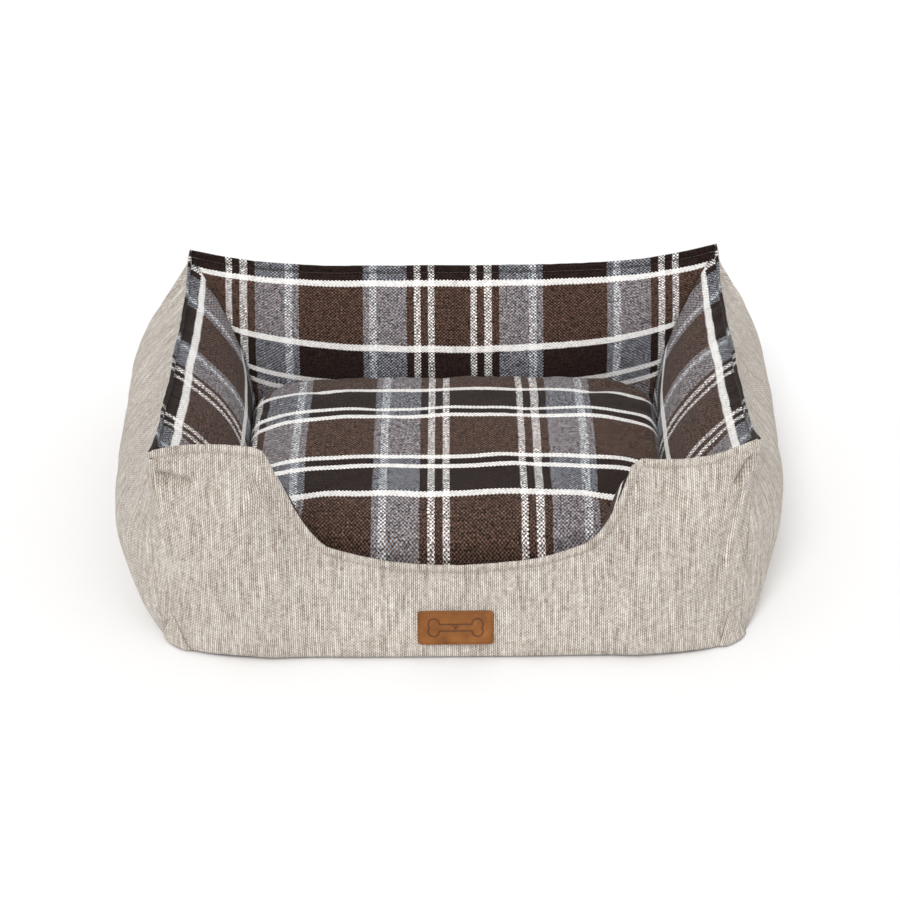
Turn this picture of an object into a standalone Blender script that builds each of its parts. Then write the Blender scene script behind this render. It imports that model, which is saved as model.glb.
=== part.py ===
"""A rectangular pet bed: four stuffed walls round a floor, a lift-out cushion and the cushion's zip.

The bed lies with its front towards -Y, its origin on the ground under its middle. Metres, +Z up.
"""

import math

import bmesh
import bpy
from mathutils import Matrix, Vector

# The seam along the top of the walls: a rectangle in plan, which peaks at its corners.
SEAM_HALF_X = 0.306
SEAM_HALF_Y = 0.223
EAR_HEIGHT = 0.234
MIDDLE_HEIGHT = {"back": 0.211, "left": 0.206, "right": 0.206}
FLANGE = 0.009
# The front wall bulges less than the back one, so the seam lies a little nearer the front than the origin.
NEST_Y = -0.0048

# The entry dip in the front wall.
DIP_HEIGHT = 0.088
DIP_RISE = 0.030
DIP_HALF_WIDTH = 0.148
DIP_SIDE_WIDTH = 0.046
SHOULDER_HEIGHT = 0.224

# Plan outlines at the widest level, at the base and inside: half sizes, and how square the corners are.
BULGE_HALF_X, BULGE_HALF_Y = 0.360, 0.282
# The outline is squarer at the back corners than at the front ones.
FRONT_BULGE_POWER, BACK_BULGE_POWER = 3.6, 7.0
BASE_HALF_X, BASE_HALF_Y, BASE_POWER = 0.312, 0.258, 9.0
WELL_HALF_X, WELL_BACK_Y, WELL_FRONT_Y = 0.236, 0.166, 0.178
WELL_CORNER = 0.018
FLOOR_HALF_X, FLOOR_HALF_Y, FLOOR_POWER = 0.252, 0.194, 14.0

# Cloth and the clear gap between pieces that touch.
CLOTH = 0.0012
GAP = 0.0003
STUFFING_INSET = 0.0075
STUFFING_SHARE = 0.42
PAD_TOP = 0.0165
LINING_FOOT = 0.0172
FLOOR_TOP = 0.0180

# The cushion.
CUSHION_HALF_X = 0.228
CUSHION_BACK_Y = 0.159
CUSHION_FRONT_Y = -0.172
CUSHION_CENTRE_Y = (CUSHION_BACK_Y + CUSHION_FRONT_Y) / 2
CUSHION_HALF_Y = (CUSHION_BACK_Y - CUSHION_FRONT_Y) / 2
CUSHION_POWER = 9.0
CUSHION_FRONT_RIM, CUSHION_BACK_RIM = 0.060, 0.080
CUSHION_FRONT_SWELL = 0.015
CUSHION_SWELL_REACH = 0.66
CUSHION_TOP = 0.119
CUSHION_FOOT = FLOOR_TOP + GAP
CUSHION_SIDES = 12
FILLING_REACH = 1 - 2 / CUSHION_SIDES

# The zip, sewn to the slope that runs from under the cushion up to its rear rim.
ZIP_LENGTH = 0.300
TAPE_WIDTH, TAPE_THICK = 0.011, 0.0008
CHAIN_WIDTH, CHAIN_THICK = 0.0050, 0.0022
CHAIN_LINKS = 40
STOP_LENGTH, STOP_HEIGHT = 0.0024, 0.0038
SLIDER_LENGTH, SLIDER_WIDTH, SLIDER_THICK = 0.011, 0.0085, 0.0020
SLIDER_FLOOR = CHAIN_THICK + GAP
SLIDER_REST_X = ZIP_LENGTH / 2 - STOP_LENGTH - SLIDER_LENGTH / 2 - GAP
PIN_HEIGHT = SLIDER_FLOOR + SLIDER_THICK + 0.0009
ARCH_HALF_LENGTH, ARCH_THICK, ARCH_WIDTH = 0.0036, 0.0009, 0.0020
PULL_LENGTH, PULL_HALF_WIDTH, PULL_THICK = 0.013, 0.0028, 0.0010
PULL_WINDOW_LENGTH, PULL_WINDOW_HALF_WIDTH = 0.0044, 0.0016

# The leather label, and the patches at the bottom corners.
LABEL_WIDTH, LABEL_HEIGHT, LABEL_THICK = 0.078, 0.038, 0.0018
LABEL_CENTRE_Z = 0.0385
LABEL_STANDOFF = 0.0016
GUSSET_HEIGHT = 0.040
GUSSET_HALF_WIDTH = 0.030

# Where each wall runs on the unit square, corner to corner, and which way it faces.
WALLS = {
    "front": ((-1, -1), (1, -1), (0, -1)),
    "right": ((1, -1), (1, 1), (1, 0)),
    "back": ((1, 1), (-1, 1), (0, 1)),
    "left": ((-1, 1), (-1, -1), (-1, 0)),
}
WALL_END = 0.990
STUFFING_END = 0.945
COLUMNS = (0.22, 0.5, 0.75, 0.9)
FRONT_COLUMNS = (0.2, 0.34, 0.44, 0.5, 0.545, 0.59, 0.64, 0.78, 0.91)
PROFILE_ROWS = 6
STUFFING_TOP = 0.13


def make_material(name, colour, roughness, metallic=0.0):
    """A Principled material in one colour."""
    material = bpy.data.materials.new(name)
    material.use_nodes = True
    shader = material.node_tree.nodes["Principled BSDF"]
    shader.inputs["Base Color"].default_value = (*colour, 1)
    shader.inputs["Roughness"].default_value = roughness
    shader.inputs["Metallic"].default_value = metallic
    material.diffuse_color = (*colour, 1)
    return material


def add_object(name, mesh_data, look, parent):
    """Makes the bmesh a smooth-shaded object of that name and look."""
    bmesh.ops.recalc_face_normals(mesh_data, faces=mesh_data.faces)
    mesh = bpy.data.meshes.new(name)
    mesh_data.to_mesh(mesh)
    mesh_data.free()
    mesh.shade_smooth()
    mesh.set_sharp_from_angle(angle=math.radians(50))
    mesh.materials.append(look)
    piece = bpy.data.objects.new(name, mesh)
    piece.parent = parent
    bpy.context.collection.objects.link(piece)
    return piece


def face_towards(piece, direction):
    """Turns a sheet's faces so that, taken together, they face that way."""
    facing = sum((face.normal * face.area for face in piece.data.polygons), Vector())
    if facing.dot(direction) < 0:
        piece.data.flip_normals()


def thicken(piece, thickness, offset=-1.0):
    """Gives a sheet its thickness, on the side away from its outer face unless offset says otherwise."""
    wall = piece.modifiers.new("Thickness", "SOLIDIFY")
    wall.thickness = thickness
    wall.offset = offset
    return piece


def smooth_step(value):
    """Zero below 0, one above 1, and a smooth rise between."""
    value = min(max(value, 0.0), 1.0)
    return value * value * (3 - 2 * value)


def mix(low, high, share):
    """The value that lies that share of the way from low to high."""
    return low + (high - low) * share


def rounded(point, half_x, half_y, power):
    """A point on the unit square's edge, carried to a rectangle whose corners are rounder at a low power."""
    x, y = point
    scale = (abs(x) ** power + abs(y) ** power) ** (-1 / power)
    return Vector((half_x * x * scale, half_y * y * scale))


def on_square(wall, along):
    """The point of the unit square's edge at -1 to 1 along a wall."""
    start, end, _ = WALLS[wall]
    share = (along + 1) / 2
    return mix(start[0], end[0], share), mix(start[1], end[1], share)


def outward(wall):
    """The direction that a wall faces, in plan."""
    return Vector(WALLS[wall][2])


def seam_height(wall, along):
    """How high the seam is at -1 to 1 along a wall."""
    if wall != "front":
        middle = MIDDLE_HEIGHT[wall]
        return mix(middle, EAR_HEIGHT, along**4) - FLANGE
    across = abs(along) * SEAM_HALF_X
    dip = DIP_HEIGHT + DIP_RISE * (across / DIP_HALF_WIDTH) ** 1.6
    shoulder = mix(SHOULDER_HEIGHT, EAR_HEIGHT, along**8)
    rise = smooth_step((across - DIP_HALF_WIDTH) / DIP_SIDE_WIDTH)
    return mix(dip, shoulder, rise) - FLANGE


def fullness(wall, along):
    """How strongly a wall is stuffed there: less in the dip, where it is low."""
    if wall != "front":
        return 1.0
    return mix(0.5, 1.0, smooth_step((seam_height(wall, along) - DIP_HEIGHT) / 0.11))


def seam_point(wall, along):
    """The seam's place in plan."""
    x, y = on_square(wall, along)
    return Vector((x * SEAM_HALF_X, y * SEAM_HALF_Y))


def base_point(wall, along, inside):
    """Where a wall's face meets the ground outside, or the floor inside, in plan."""
    point = on_square(wall, along)
    if inside:
        return rounded(point, FLOOR_HALF_X, FLOOR_HALF_Y, FLOOR_POWER)
    return rounded(point, BASE_HALF_X, BASE_HALF_Y, BASE_POWER)


def bulge_point(wall, along, inside):
    """The wall's fullest place in plan."""
    x, y = on_square(wall, along)
    if not inside:
        power = mix(FRONT_BULGE_POWER, BACK_BULGE_POWER, smooth_step((y + 1) / 2))
        return rounded((x, y), BULGE_HALF_X, BULGE_HALF_Y, power)
    deep = WELL_BACK_Y if y > 0 else WELL_FRONT_Y
    return Vector((x * (WELL_HALF_X + WELL_CORNER * y * y), y * (deep + WELL_CORNER * x * x)))


def wall_point(wall, along, down, inside):
    """A point of a wall's face, from the seam (down = 0) to its foot (down = 1)."""
    seam = seam_point(wall, along)
    foot = base_point(wall, along, inside)
    bulge = bulge_point(wall, along, inside) - (seam + foot) / 2
    swell = fullness(wall, along) * math.sin(math.pi * down) ** 0.8
    plan = mix(seam, foot, down) + bulge * swell
    foot_height = LINING_FOOT if inside else CLOTH + GAP
    return Vector((*plan, mix(seam_height(wall, along), foot_height, down)))


def flange_direction(wall, along):
    """Upwards from the seam and square to it, in the wall's own upright plane."""
    step = 0.002
    ahead = Vector((*seam_point(wall, along + step), seam_height(wall, along + step)))
    behind = Vector((*seam_point(wall, along - step), seam_height(wall, along - step)))
    tangent = (ahead - behind).normalized()
    return tangent.cross(Vector((*outward(wall), 0))).normalized() * -1


def columns_of(wall, end):
    """The places along a wall where its sheets have a column of points."""
    inner = FRONT_COLUMNS if wall == "front" else COLUMNS
    half = (*inner, end)
    return [-place for place in reversed(half)] + [0.0] + list(half)


def add_sheet(name, wall, inside, columns, look, parent):
    """One side of a wall's cover: the cloth from the top of its flange, over the bulge, to its foot."""
    rows = PROFILE_ROWS + 1
    sheet = bmesh.new()
    bmesh.ops.create_grid(sheet, x_segments=len(columns) - 1, y_segments=rows, size=1)
    facing = outward(wall) * (-1 if inside else 1)
    aside = Vector((*facing, 0)) * (CLOTH + GAP / 2)
    for vertex in sheet.verts:
        along = columns[round((vertex.co.x + 1) / 2 * (len(columns) - 1))]
        row = round((1 - vertex.co.y) / 2 * rows)
        place = wall_point(wall, along, max(row - 1, 0) / PROFILE_ROWS, inside)
        if row == 0:
            place += flange_direction(wall, along) * FLANGE
        vertex.co = place + aside
    piece = add_object(name, sheet, look, parent)
    face_towards(piece, aside)
    return thicken(piece, CLOTH)


def stuffing_section(wall, along):
    """The closed outline of a wall's stuffing, seen along the wall."""
    steps = [mix(STUFFING_TOP, 1.0, row / (PROFILE_ROWS - 1)) for row in range(PROFILE_ROWS)]
    facing = Vector((*outward(wall), 0))
    aside = flange_direction(wall, along).to_2d().to_3d() * -STUFFING_INSET
    outer, inner = [], []
    for down in steps:
        front, back = (wall_point(wall, along, down, inside) for inside in (False, True))
        room = (front - back).dot(facing)
        inset = facing * min(STUFFING_INSET, room * STUFFING_SHARE)
        outer.append(front - inset + aside)
        inner.append(back + inset + aside)
    outer[-1].z = CLOTH + GAP
    heel = inner[-1].copy()
    heel.z = CLOTH + GAP
    return [*outer, heel, *reversed(inner)]


def loft(target, sections):
    """Joins closed outlines of equal length, one after another, and caps the two ends."""
    rings = [[target.verts.new(point) for point in section] for section in sections]
    for near, far in zip(rings, rings[1:]):
        for index, corner in enumerate(near):
            target.faces.new((near[index - 1], corner, far[index], far[index - 1]))
    for end in (rings[0], rings[-1]):
        target.faces.new(end)


def add_stuffing(name, wall, look, parent):
    """The stuffed core of a wall, mitred at its ends."""
    core = bmesh.new()
    loft(core, [stuffing_section(wall, along) for along in columns_of(wall, STUFFING_END)])
    return add_object(name, core, look, parent)


def add_slab(name, outline, low, high, look, parent):
    """A flat piece of that outline, between two heights."""
    slab = bmesh.new()
    face = slab.faces.new([slab.verts.new((*point, low)) for point in outline])
    top = bmesh.ops.extrude_face_region(slab, geom=[face])["geom"]
    raised = [item for item in top if isinstance(item, bmesh.types.BMVert)]
    bmesh.ops.translate(slab, verts=raised, vec=(0, 0, high - low))
    return add_object(name, slab, look, parent)


def plan_outline(inside, shrink):
    """The bed's outline at the ground, or its floor's, drawn in by that much."""
    places = (-0.985, -0.93, -0.8, -0.4, 0.0, 0.4, 0.8, 0.93)
    outline = []
    for wall in WALLS:
        for along in places:
            point = base_point(wall, along, inside)
            outline.append(point - point.normalized() * shrink * 1.42)
    return outline


def add_gusset(name, first, second, look, parent):
    """The three-cornered patch that closes a bottom corner, lying on the two panels that meet there."""
    patch = bmesh.new()
    across, up = 6, 4
    bmesh.ops.create_grid(patch, x_segments=across, y_segments=up, size=1)
    for vertex in patch.verts:
        rise = (vertex.co.y + 1) / 2
        side = vertex.co.x * (1 - 0.93 * rise)
        wall = first if side < 0 else second
        length = SEAM_HALF_X if wall in ("front", "back") else SEAM_HALF_Y
        along = 1 - abs(side) * GUSSET_HALF_WIDTH / length
        height = mix(CLOTH + GAP, GUSSET_HEIGHT, rise)
        down = 1 - height / seam_height(wall, 1.0)
        place = wall_point(wall, along if wall == first else -along, down, False)
        clear = (outward(first) + outward(second)).normalized()
        vertex.co = place + Vector((*clear, 0)) * 3 * (CLOTH + GAP)
    piece = add_object(name, patch, look, parent)
    face_towards(piece, Vector((*outward(first), 0)) + Vector((*outward(second), 0)))
    return thicken(piece, CLOTH)


def add_label(look, parent):
    """The leather label, bent to the front panel that it is sewn to."""
    patch = bmesh.new()
    bmesh.ops.create_grid(patch, x_segments=6, y_segments=3, size=1)
    for vertex in patch.verts:
        x = vertex.co.x * LABEL_WIDTH / 2
        z = LABEL_CENTRE_Z + vertex.co.y * LABEL_HEIGHT / 2
        along = x / SEAM_HALF_X
        down = 1 - (z - CLOTH) / seam_height("front", along)
        face = wall_point("front", along, down, False)
        vertex.co = Vector((x, face.y - CLOTH - LABEL_STANDOFF - LABEL_THICK, z))
    piece = add_object("label_patch", patch, look, parent)
    face_towards(piece, Vector((0, -1, 0)))
    return thicken(piece, LABEL_THICK)


def cushion_point(x, y, upper):
    """The cushion's face over a point of the unit square: full in the middle, a thin rim at the edge."""
    reach = max(abs(x), abs(y))
    plan = Vector((0, 0))
    if reach > 0:
        plan = rounded((x / reach, y / reach), CUSHION_HALF_X, CUSHION_HALF_Y, CUSHION_POWER) * reach
    swell = max(0.0, -y) ** 3 * smooth_step(1.8 * (1 - abs(x) / CUSHION_SWELL_REACH))
    plan.y -= swell * CUSHION_FRONT_SWELL
    rim = mix(CUSHION_FRONT_RIM, CUSHION_BACK_RIM, (y + 1) / 2)
    if upper:
        height = mix(rim, CUSHION_TOP, ((1 - abs(x) ** 3.4) * (1 - abs(y) ** 3.4)) ** 0.5)
    else:
        height = mix(rim, CUSHION_FOOT, min(1.0, 1.35 * (1 - reach**4) ** 0.6))
    return Vector((plan.x, plan.y + CUSHION_CENTRE_Y, height))


def add_cushion_cover(name, upper, look, parent):
    """The upper or the lower half of the cushion's cover."""
    cover = bmesh.new()
    bmesh.ops.create_grid(cover, x_segments=CUSHION_SIDES, y_segments=CUSHION_SIDES, size=1)
    for vertex in cover.verts:
        rim_gap = 2 * CLOTH if upper else 0
        vertex.co = cushion_point(vertex.co.x, vertex.co.y, upper) + Vector((0, 0, rim_gap))
    piece = add_object(name, cover, look, parent)
    face_towards(piece, Vector((0, 0, 1 if upper else -1)))
    return thicken(piece, CLOTH)


def add_cushion_filling(look, parent):
    """The cushion's stuffing: a crowned pad that clears the cover all round."""
    bottom, top = CUSHION_FOOT + 3 * CLOTH, CUSHION_TOP - 2 * CLOTH
    pad = bmesh.new()
    bmesh.ops.create_cube(pad, size=2)
    bmesh.ops.subdivide_edges(pad, edges=pad.edges, cuts=5, use_grid_fill=True)
    for vertex in pad.verts:
        x, y = vertex.co.x * FILLING_REACH, vertex.co.y * FILLING_REACH
        upper = cushion_point(x, y, True).z - 3 * CLOTH
        lower = cushion_point(x, y, False).z + 3 * CLOTH
        plan = cushion_point(x, y, True)
        height = mix(lower, upper, (vertex.co.z + 1) / 2)
        vertex.co = Vector((plan.x, plan.y, min(max(height, bottom), top)))
    return add_object("cushion_filling", pad, look, parent)


def add_block(name, size, centre, look, parent, edge=0.0):
    """A block with its edges rounded by that much."""
    block = bmesh.new()
    bmesh.ops.create_cube(block, size=1)
    bmesh.ops.scale(block, verts=block.verts, vec=size)
    bmesh.ops.translate(block, verts=block.verts, vec=centre)
    if edge:
        bmesh.ops.bevel(
            block, geom=block.edges[:], affect="EDGES", offset=edge, segments=1, profile=0.5, material=-1
        )
    return add_object(name, block, look, parent)


def add_chain(look, parent):
    """The closed teeth, as a ribbed bar between the two tapes."""
    pitch = (ZIP_LENGTH - 2 * STOP_LENGTH - 2 * GAP) / CHAIN_LINKS
    chain = bmesh.new()
    sections = []
    for link in range(CHAIN_LINKS + 1):
        x = (link - CHAIN_LINKS / 2) * pitch
        half = CHAIN_WIDTH / 2 * (1.0 if link % 2 else 0.8)
        corners = ((-half, GAP), (half, GAP), (half, CHAIN_THICK), (-half, CHAIN_THICK))
        sections.append([Vector((x, y, z)) for y, z in corners])
    loft(chain, sections)
    return add_object("zip_teeth", chain, look, parent)


def window_frame(stops_x, stops_y):
    """A flat sheet with a window in it, from the places of its edges along X and Y."""
    sheet = bmesh.new()
    bmesh.ops.create_grid(sheet, x_segments=3, y_segments=3, size=1)
    middle = min(sheet.faces, key=lambda face: face.calc_center_median().length)
    bmesh.ops.delete(sheet, geom=[middle], context="FACES_ONLY")
    for vertex in sheet.verts:
        column = round((vertex.co.x + 1) * 1.5)
        row = round((vertex.co.y + 1) * 1.5)
        vertex.co = Vector((stops_x[column], stops_y[row], 0))
    return sheet


def add_slider(look, parent):
    """The slider: a plate over the teeth with the arch that its pull hangs in."""
    plate_size = (SLIDER_LENGTH, SLIDER_WIDTH, SLIDER_THICK)
    plate_centre = (0, 0, SLIDER_FLOOR + SLIDER_THICK / 2)
    plate = add_block("zip_slider_body", plate_size, plate_centre, look, parent, edge=0.0005)
    outer, inner = ARCH_HALF_LENGTH, ARCH_HALF_LENGTH - ARCH_THICK
    top = 2 * PIN_HEIGHT - SLIDER_FLOOR - SLIDER_THICK
    sunk = SLIDER_FLOOR + SLIDER_THICK / 2
    heights = (sunk - ARCH_THICK / 2, sunk, top, top + ARCH_THICK)
    sheet = window_frame((-outer, -inner, inner, outer), heights)
    bmesh.ops.rotate(sheet, verts=sheet.verts, matrix=Matrix.Rotation(math.pi / 2, 3, "X"))
    arch = add_object("slider_arch", sheet, look, parent)
    thicken(arch, ARCH_WIDTH, 0.0)
    arch.hide_render = True
    arch.display_type = "WIRE"
    join = plate.modifiers.new("Arch", "BOOLEAN")
    join.operation = "UNION"
    join.object = arch
    return plate, arch


def add_pull(look, parent):
    """The pull tab, made about its own pin, which passes under the slider's arch."""
    half = PULL_THICK / 2
    stops_x = (-PULL_LENGTH, -PULL_WINDOW_LENGTH, -half, half)
    stops_y = (-PULL_HALF_WIDTH, -PULL_WINDOW_HALF_WIDTH, PULL_WINDOW_HALF_WIDTH, PULL_HALF_WIDTH)
    pull = add_object("zip_pull_tab", window_frame(stops_x, stops_y), look, parent)
    return thicken(pull, PULL_THICK, 0.0)


def add_empty(name, parent, place=(0, 0, 0)):
    """An empty that carries the pieces parented to it."""
    empty = bpy.data.objects.new(name, None)
    empty.parent = parent
    empty.location = place
    bpy.context.collection.objects.link(empty)
    return empty


def add_zip(tape, nylon, metal, cushion):
    """The zip, made flat in its own frame and turned onto the cushion's rear slope."""
    rim = cushion_point(0, 1, False)
    heel = cushion_point(0, 1 - 2 / CUSHION_SIDES, False)
    slope = add_empty("zip_frame", cushion, (rim + heel) / 2)
    slope.rotation_euler.x = math.pi + math.atan2(rim.z - heel.z, rim.y - heel.y)
    for name, side in (("zip_tape_upper", -1), ("zip_tape_lower", 1)):
        centre = (0, side * (CHAIN_WIDTH / 2 + GAP + TAPE_WIDTH / 2), GAP + TAPE_THICK / 2)
        add_block(name, (ZIP_LENGTH, TAPE_WIDTH, TAPE_THICK), centre, tape, slope)
    add_chain(nylon, slope)
    for name, side in (("zip_stop_left", -1), ("zip_stop_right", 1)):
        centre = (side * (ZIP_LENGTH - STOP_LENGTH) / 2, 0, GAP + STOP_HEIGHT / 2)
        add_block(name, (STOP_LENGTH, CHAIN_WIDTH, STOP_HEIGHT), centre, metal, slope)
    runner = add_empty("slider_frame", slope, (SLIDER_REST_X, 0, 0))
    add_slider(metal, runner)
    add_pull(metal, add_empty("pull_pin", runner, (0, 0, PIN_HEIGHT)))


def build():
    """Clears the scene and makes every piece of the bed."""
    for leftover in list(bpy.data.objects):
        bpy.data.objects.remove(leftover)

    oat = make_material("oat_linen", (0.58, 0.52, 0.46), 0.95)
    plaid = make_material("brown_plaid", (0.10, 0.075, 0.07), 0.95)
    fibre = make_material("white_fibre", (0.85, 0.85, 0.83), 0.95)
    foam = make_material("pale_foam", (0.80, 0.78, 0.70), 0.9)
    ground = make_material("dark_base_cloth", (0.06, 0.055, 0.05), 0.9)
    leather = make_material("tan_leather", (0.33, 0.12, 0.032), 0.6)
    tape = make_material("dark_tape", (0.05, 0.038, 0.035), 0.9)
    nylon = make_material("dark_nylon", (0.04, 0.03, 0.03), 0.4)
    metal = make_material("painted_metal", (0.05, 0.04, 0.04), 0.35, 0.6)

    nest = add_empty("nest_frame", None, (0, NEST_Y, 0))
    cushion = add_empty("cushion_frame", nest)

    # The floor, from the ground up.
    add_slab("base_fabric", plan_outline(False, 0.0), 0, CLOTH, ground, nest)
    add_slab("base_pad", plan_outline(True, 0.0012), CLOTH + GAP, PAD_TOP, foam, nest)
    add_slab("floor_lining", plan_outline(True, 0.004), PAD_TOP + GAP, FLOOR_TOP, plaid, nest)

    # The walls. The back lining is pieced from two halves.
    for wall in WALLS:
        columns = columns_of(wall, WALL_END)
        add_sheet(f"{wall}_outer_panel", wall, False, columns, oat, nest)
        if wall != "back":
            add_sheet(f"{wall}_lining", wall, True, columns, plaid, nest)
        add_stuffing(f"{wall}_filling", wall, fibre, nest)
    half = [0.002, *COLUMNS, WALL_END]
    add_sheet("back_lining_left", "back", True, half, plaid, nest)
    add_sheet("back_lining_right", "back", True, [-place for place in reversed(half)], plaid, nest)
    names = list(WALLS)
    for first, second in zip(names, names[1:] + names[:1]):
        add_gusset(f"{first}_{second}_gusset", first, second, oat, nest)
    add_label(leather, nest)

    # The cushion.
    add_cushion_cover("cushion_top_cover", True, plaid, cushion)
    add_cushion_cover("cushion_bottom_cover", False, plaid, cushion)
    add_cushion_filling(fibre, cushion)

    add_zip(tape, nylon, metal, cushion)


build()
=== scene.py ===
"""Looks of a rectangular pet bed: stuffed walls in oat linen and plaid, and a loose plaid cushion.

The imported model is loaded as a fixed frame. Every cloth, pad, patch and thread of the bed is built round
it in metres, dressed in a procedural finish, and made to ride on the body that it belongs to.
"""

import logging
import math
from dataclasses import dataclass, field
from enum import Enum
from typing import Callable, Sequence

import bmesh
import bpy
from mathutils import Matrix, Vector, noise


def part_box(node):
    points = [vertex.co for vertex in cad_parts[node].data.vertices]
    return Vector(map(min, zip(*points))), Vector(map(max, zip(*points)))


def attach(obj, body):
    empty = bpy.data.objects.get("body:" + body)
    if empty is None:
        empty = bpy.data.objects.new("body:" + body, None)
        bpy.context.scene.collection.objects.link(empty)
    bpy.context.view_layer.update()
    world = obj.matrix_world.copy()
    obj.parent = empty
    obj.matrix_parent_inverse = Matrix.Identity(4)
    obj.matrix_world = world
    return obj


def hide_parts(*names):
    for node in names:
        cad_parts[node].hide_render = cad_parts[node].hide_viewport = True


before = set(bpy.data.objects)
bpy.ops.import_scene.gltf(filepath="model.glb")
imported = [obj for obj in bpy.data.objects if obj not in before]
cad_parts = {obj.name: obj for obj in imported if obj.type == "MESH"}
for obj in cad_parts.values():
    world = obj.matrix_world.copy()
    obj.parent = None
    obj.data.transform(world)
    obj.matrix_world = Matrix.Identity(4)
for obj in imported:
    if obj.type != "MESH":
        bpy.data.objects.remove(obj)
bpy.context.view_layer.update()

log = logging.getLogger("pet_bed")

CLOTH = 0.0012
Triple = tuple[float, float, float]


# ---------------------------------------------------------------- numbers


def mix(low, high, share: float):
    """The value that lies that share of the way from low to high."""
    return low + (high - low) * share


def smooth_step(value: float) -> float:
    """Zero below 0, one above 1, and a smooth rise between."""
    value = min(max(value, 0.0), 1.0)
    return value * value * (3 - 2 * value)


def shade(red: int, green: int, blue: int) -> Triple:
    """A screen colour, 0 to 255, as the shader's linear colour."""
    shares = (channel / 255 for channel in (red, green, blue))
    return tuple(s / 12.92 if s <= 0.04045 else ((s + 0.055) / 1.055) ** 2.4 for s in shares)


def wobble(place: Vector, wavelength: float, seed: float = 0.0) -> float:
    """Smooth noise between about -1 and 1 with that wavelength."""
    return noise.noise(place / wavelength + Vector((seed, -seed, seed * 0.5)))


# ---------------------------------------------------------------- shader expressions


class Signal:
    """A number or colour on its way through a material, on which arithmetic adds nodes."""

    def __init__(self, net: "Net", socket: bpy.types.NodeSocket) -> None:
        """Wraps one output socket.

        Args:
            net: The material that the socket belongs to.
            socket: The output that carries the value.
        """
        self.net = net
        self.socket = socket

    def __add__(self, other: "Signal | float") -> "Signal":
        """The sum."""
        return self.net.math("ADD", self, other)

    def __radd__(self, other: float) -> "Signal":
        """The sum, from a plain number."""
        return self.net.math("ADD", other, self)

    def __sub__(self, other: "Signal | float") -> "Signal":
        """The difference."""
        return self.net.math("SUBTRACT", self, other)

    def __rsub__(self, other: float) -> "Signal":
        """The difference, from a plain number."""
        return self.net.math("SUBTRACT", other, self)

    def __mul__(self, other: "Signal | float") -> "Signal":
        """The product."""
        return self.net.math("MULTIPLY", self, other)

    def __rmul__(self, other: float) -> "Signal":
        """The product, from a plain number."""
        return self.net.math("MULTIPLY", other, self)

    def __truediv__(self, other: "Signal | float") -> "Signal":
        """The quotient."""
        return self.net.math("DIVIDE", self, other)


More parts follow.
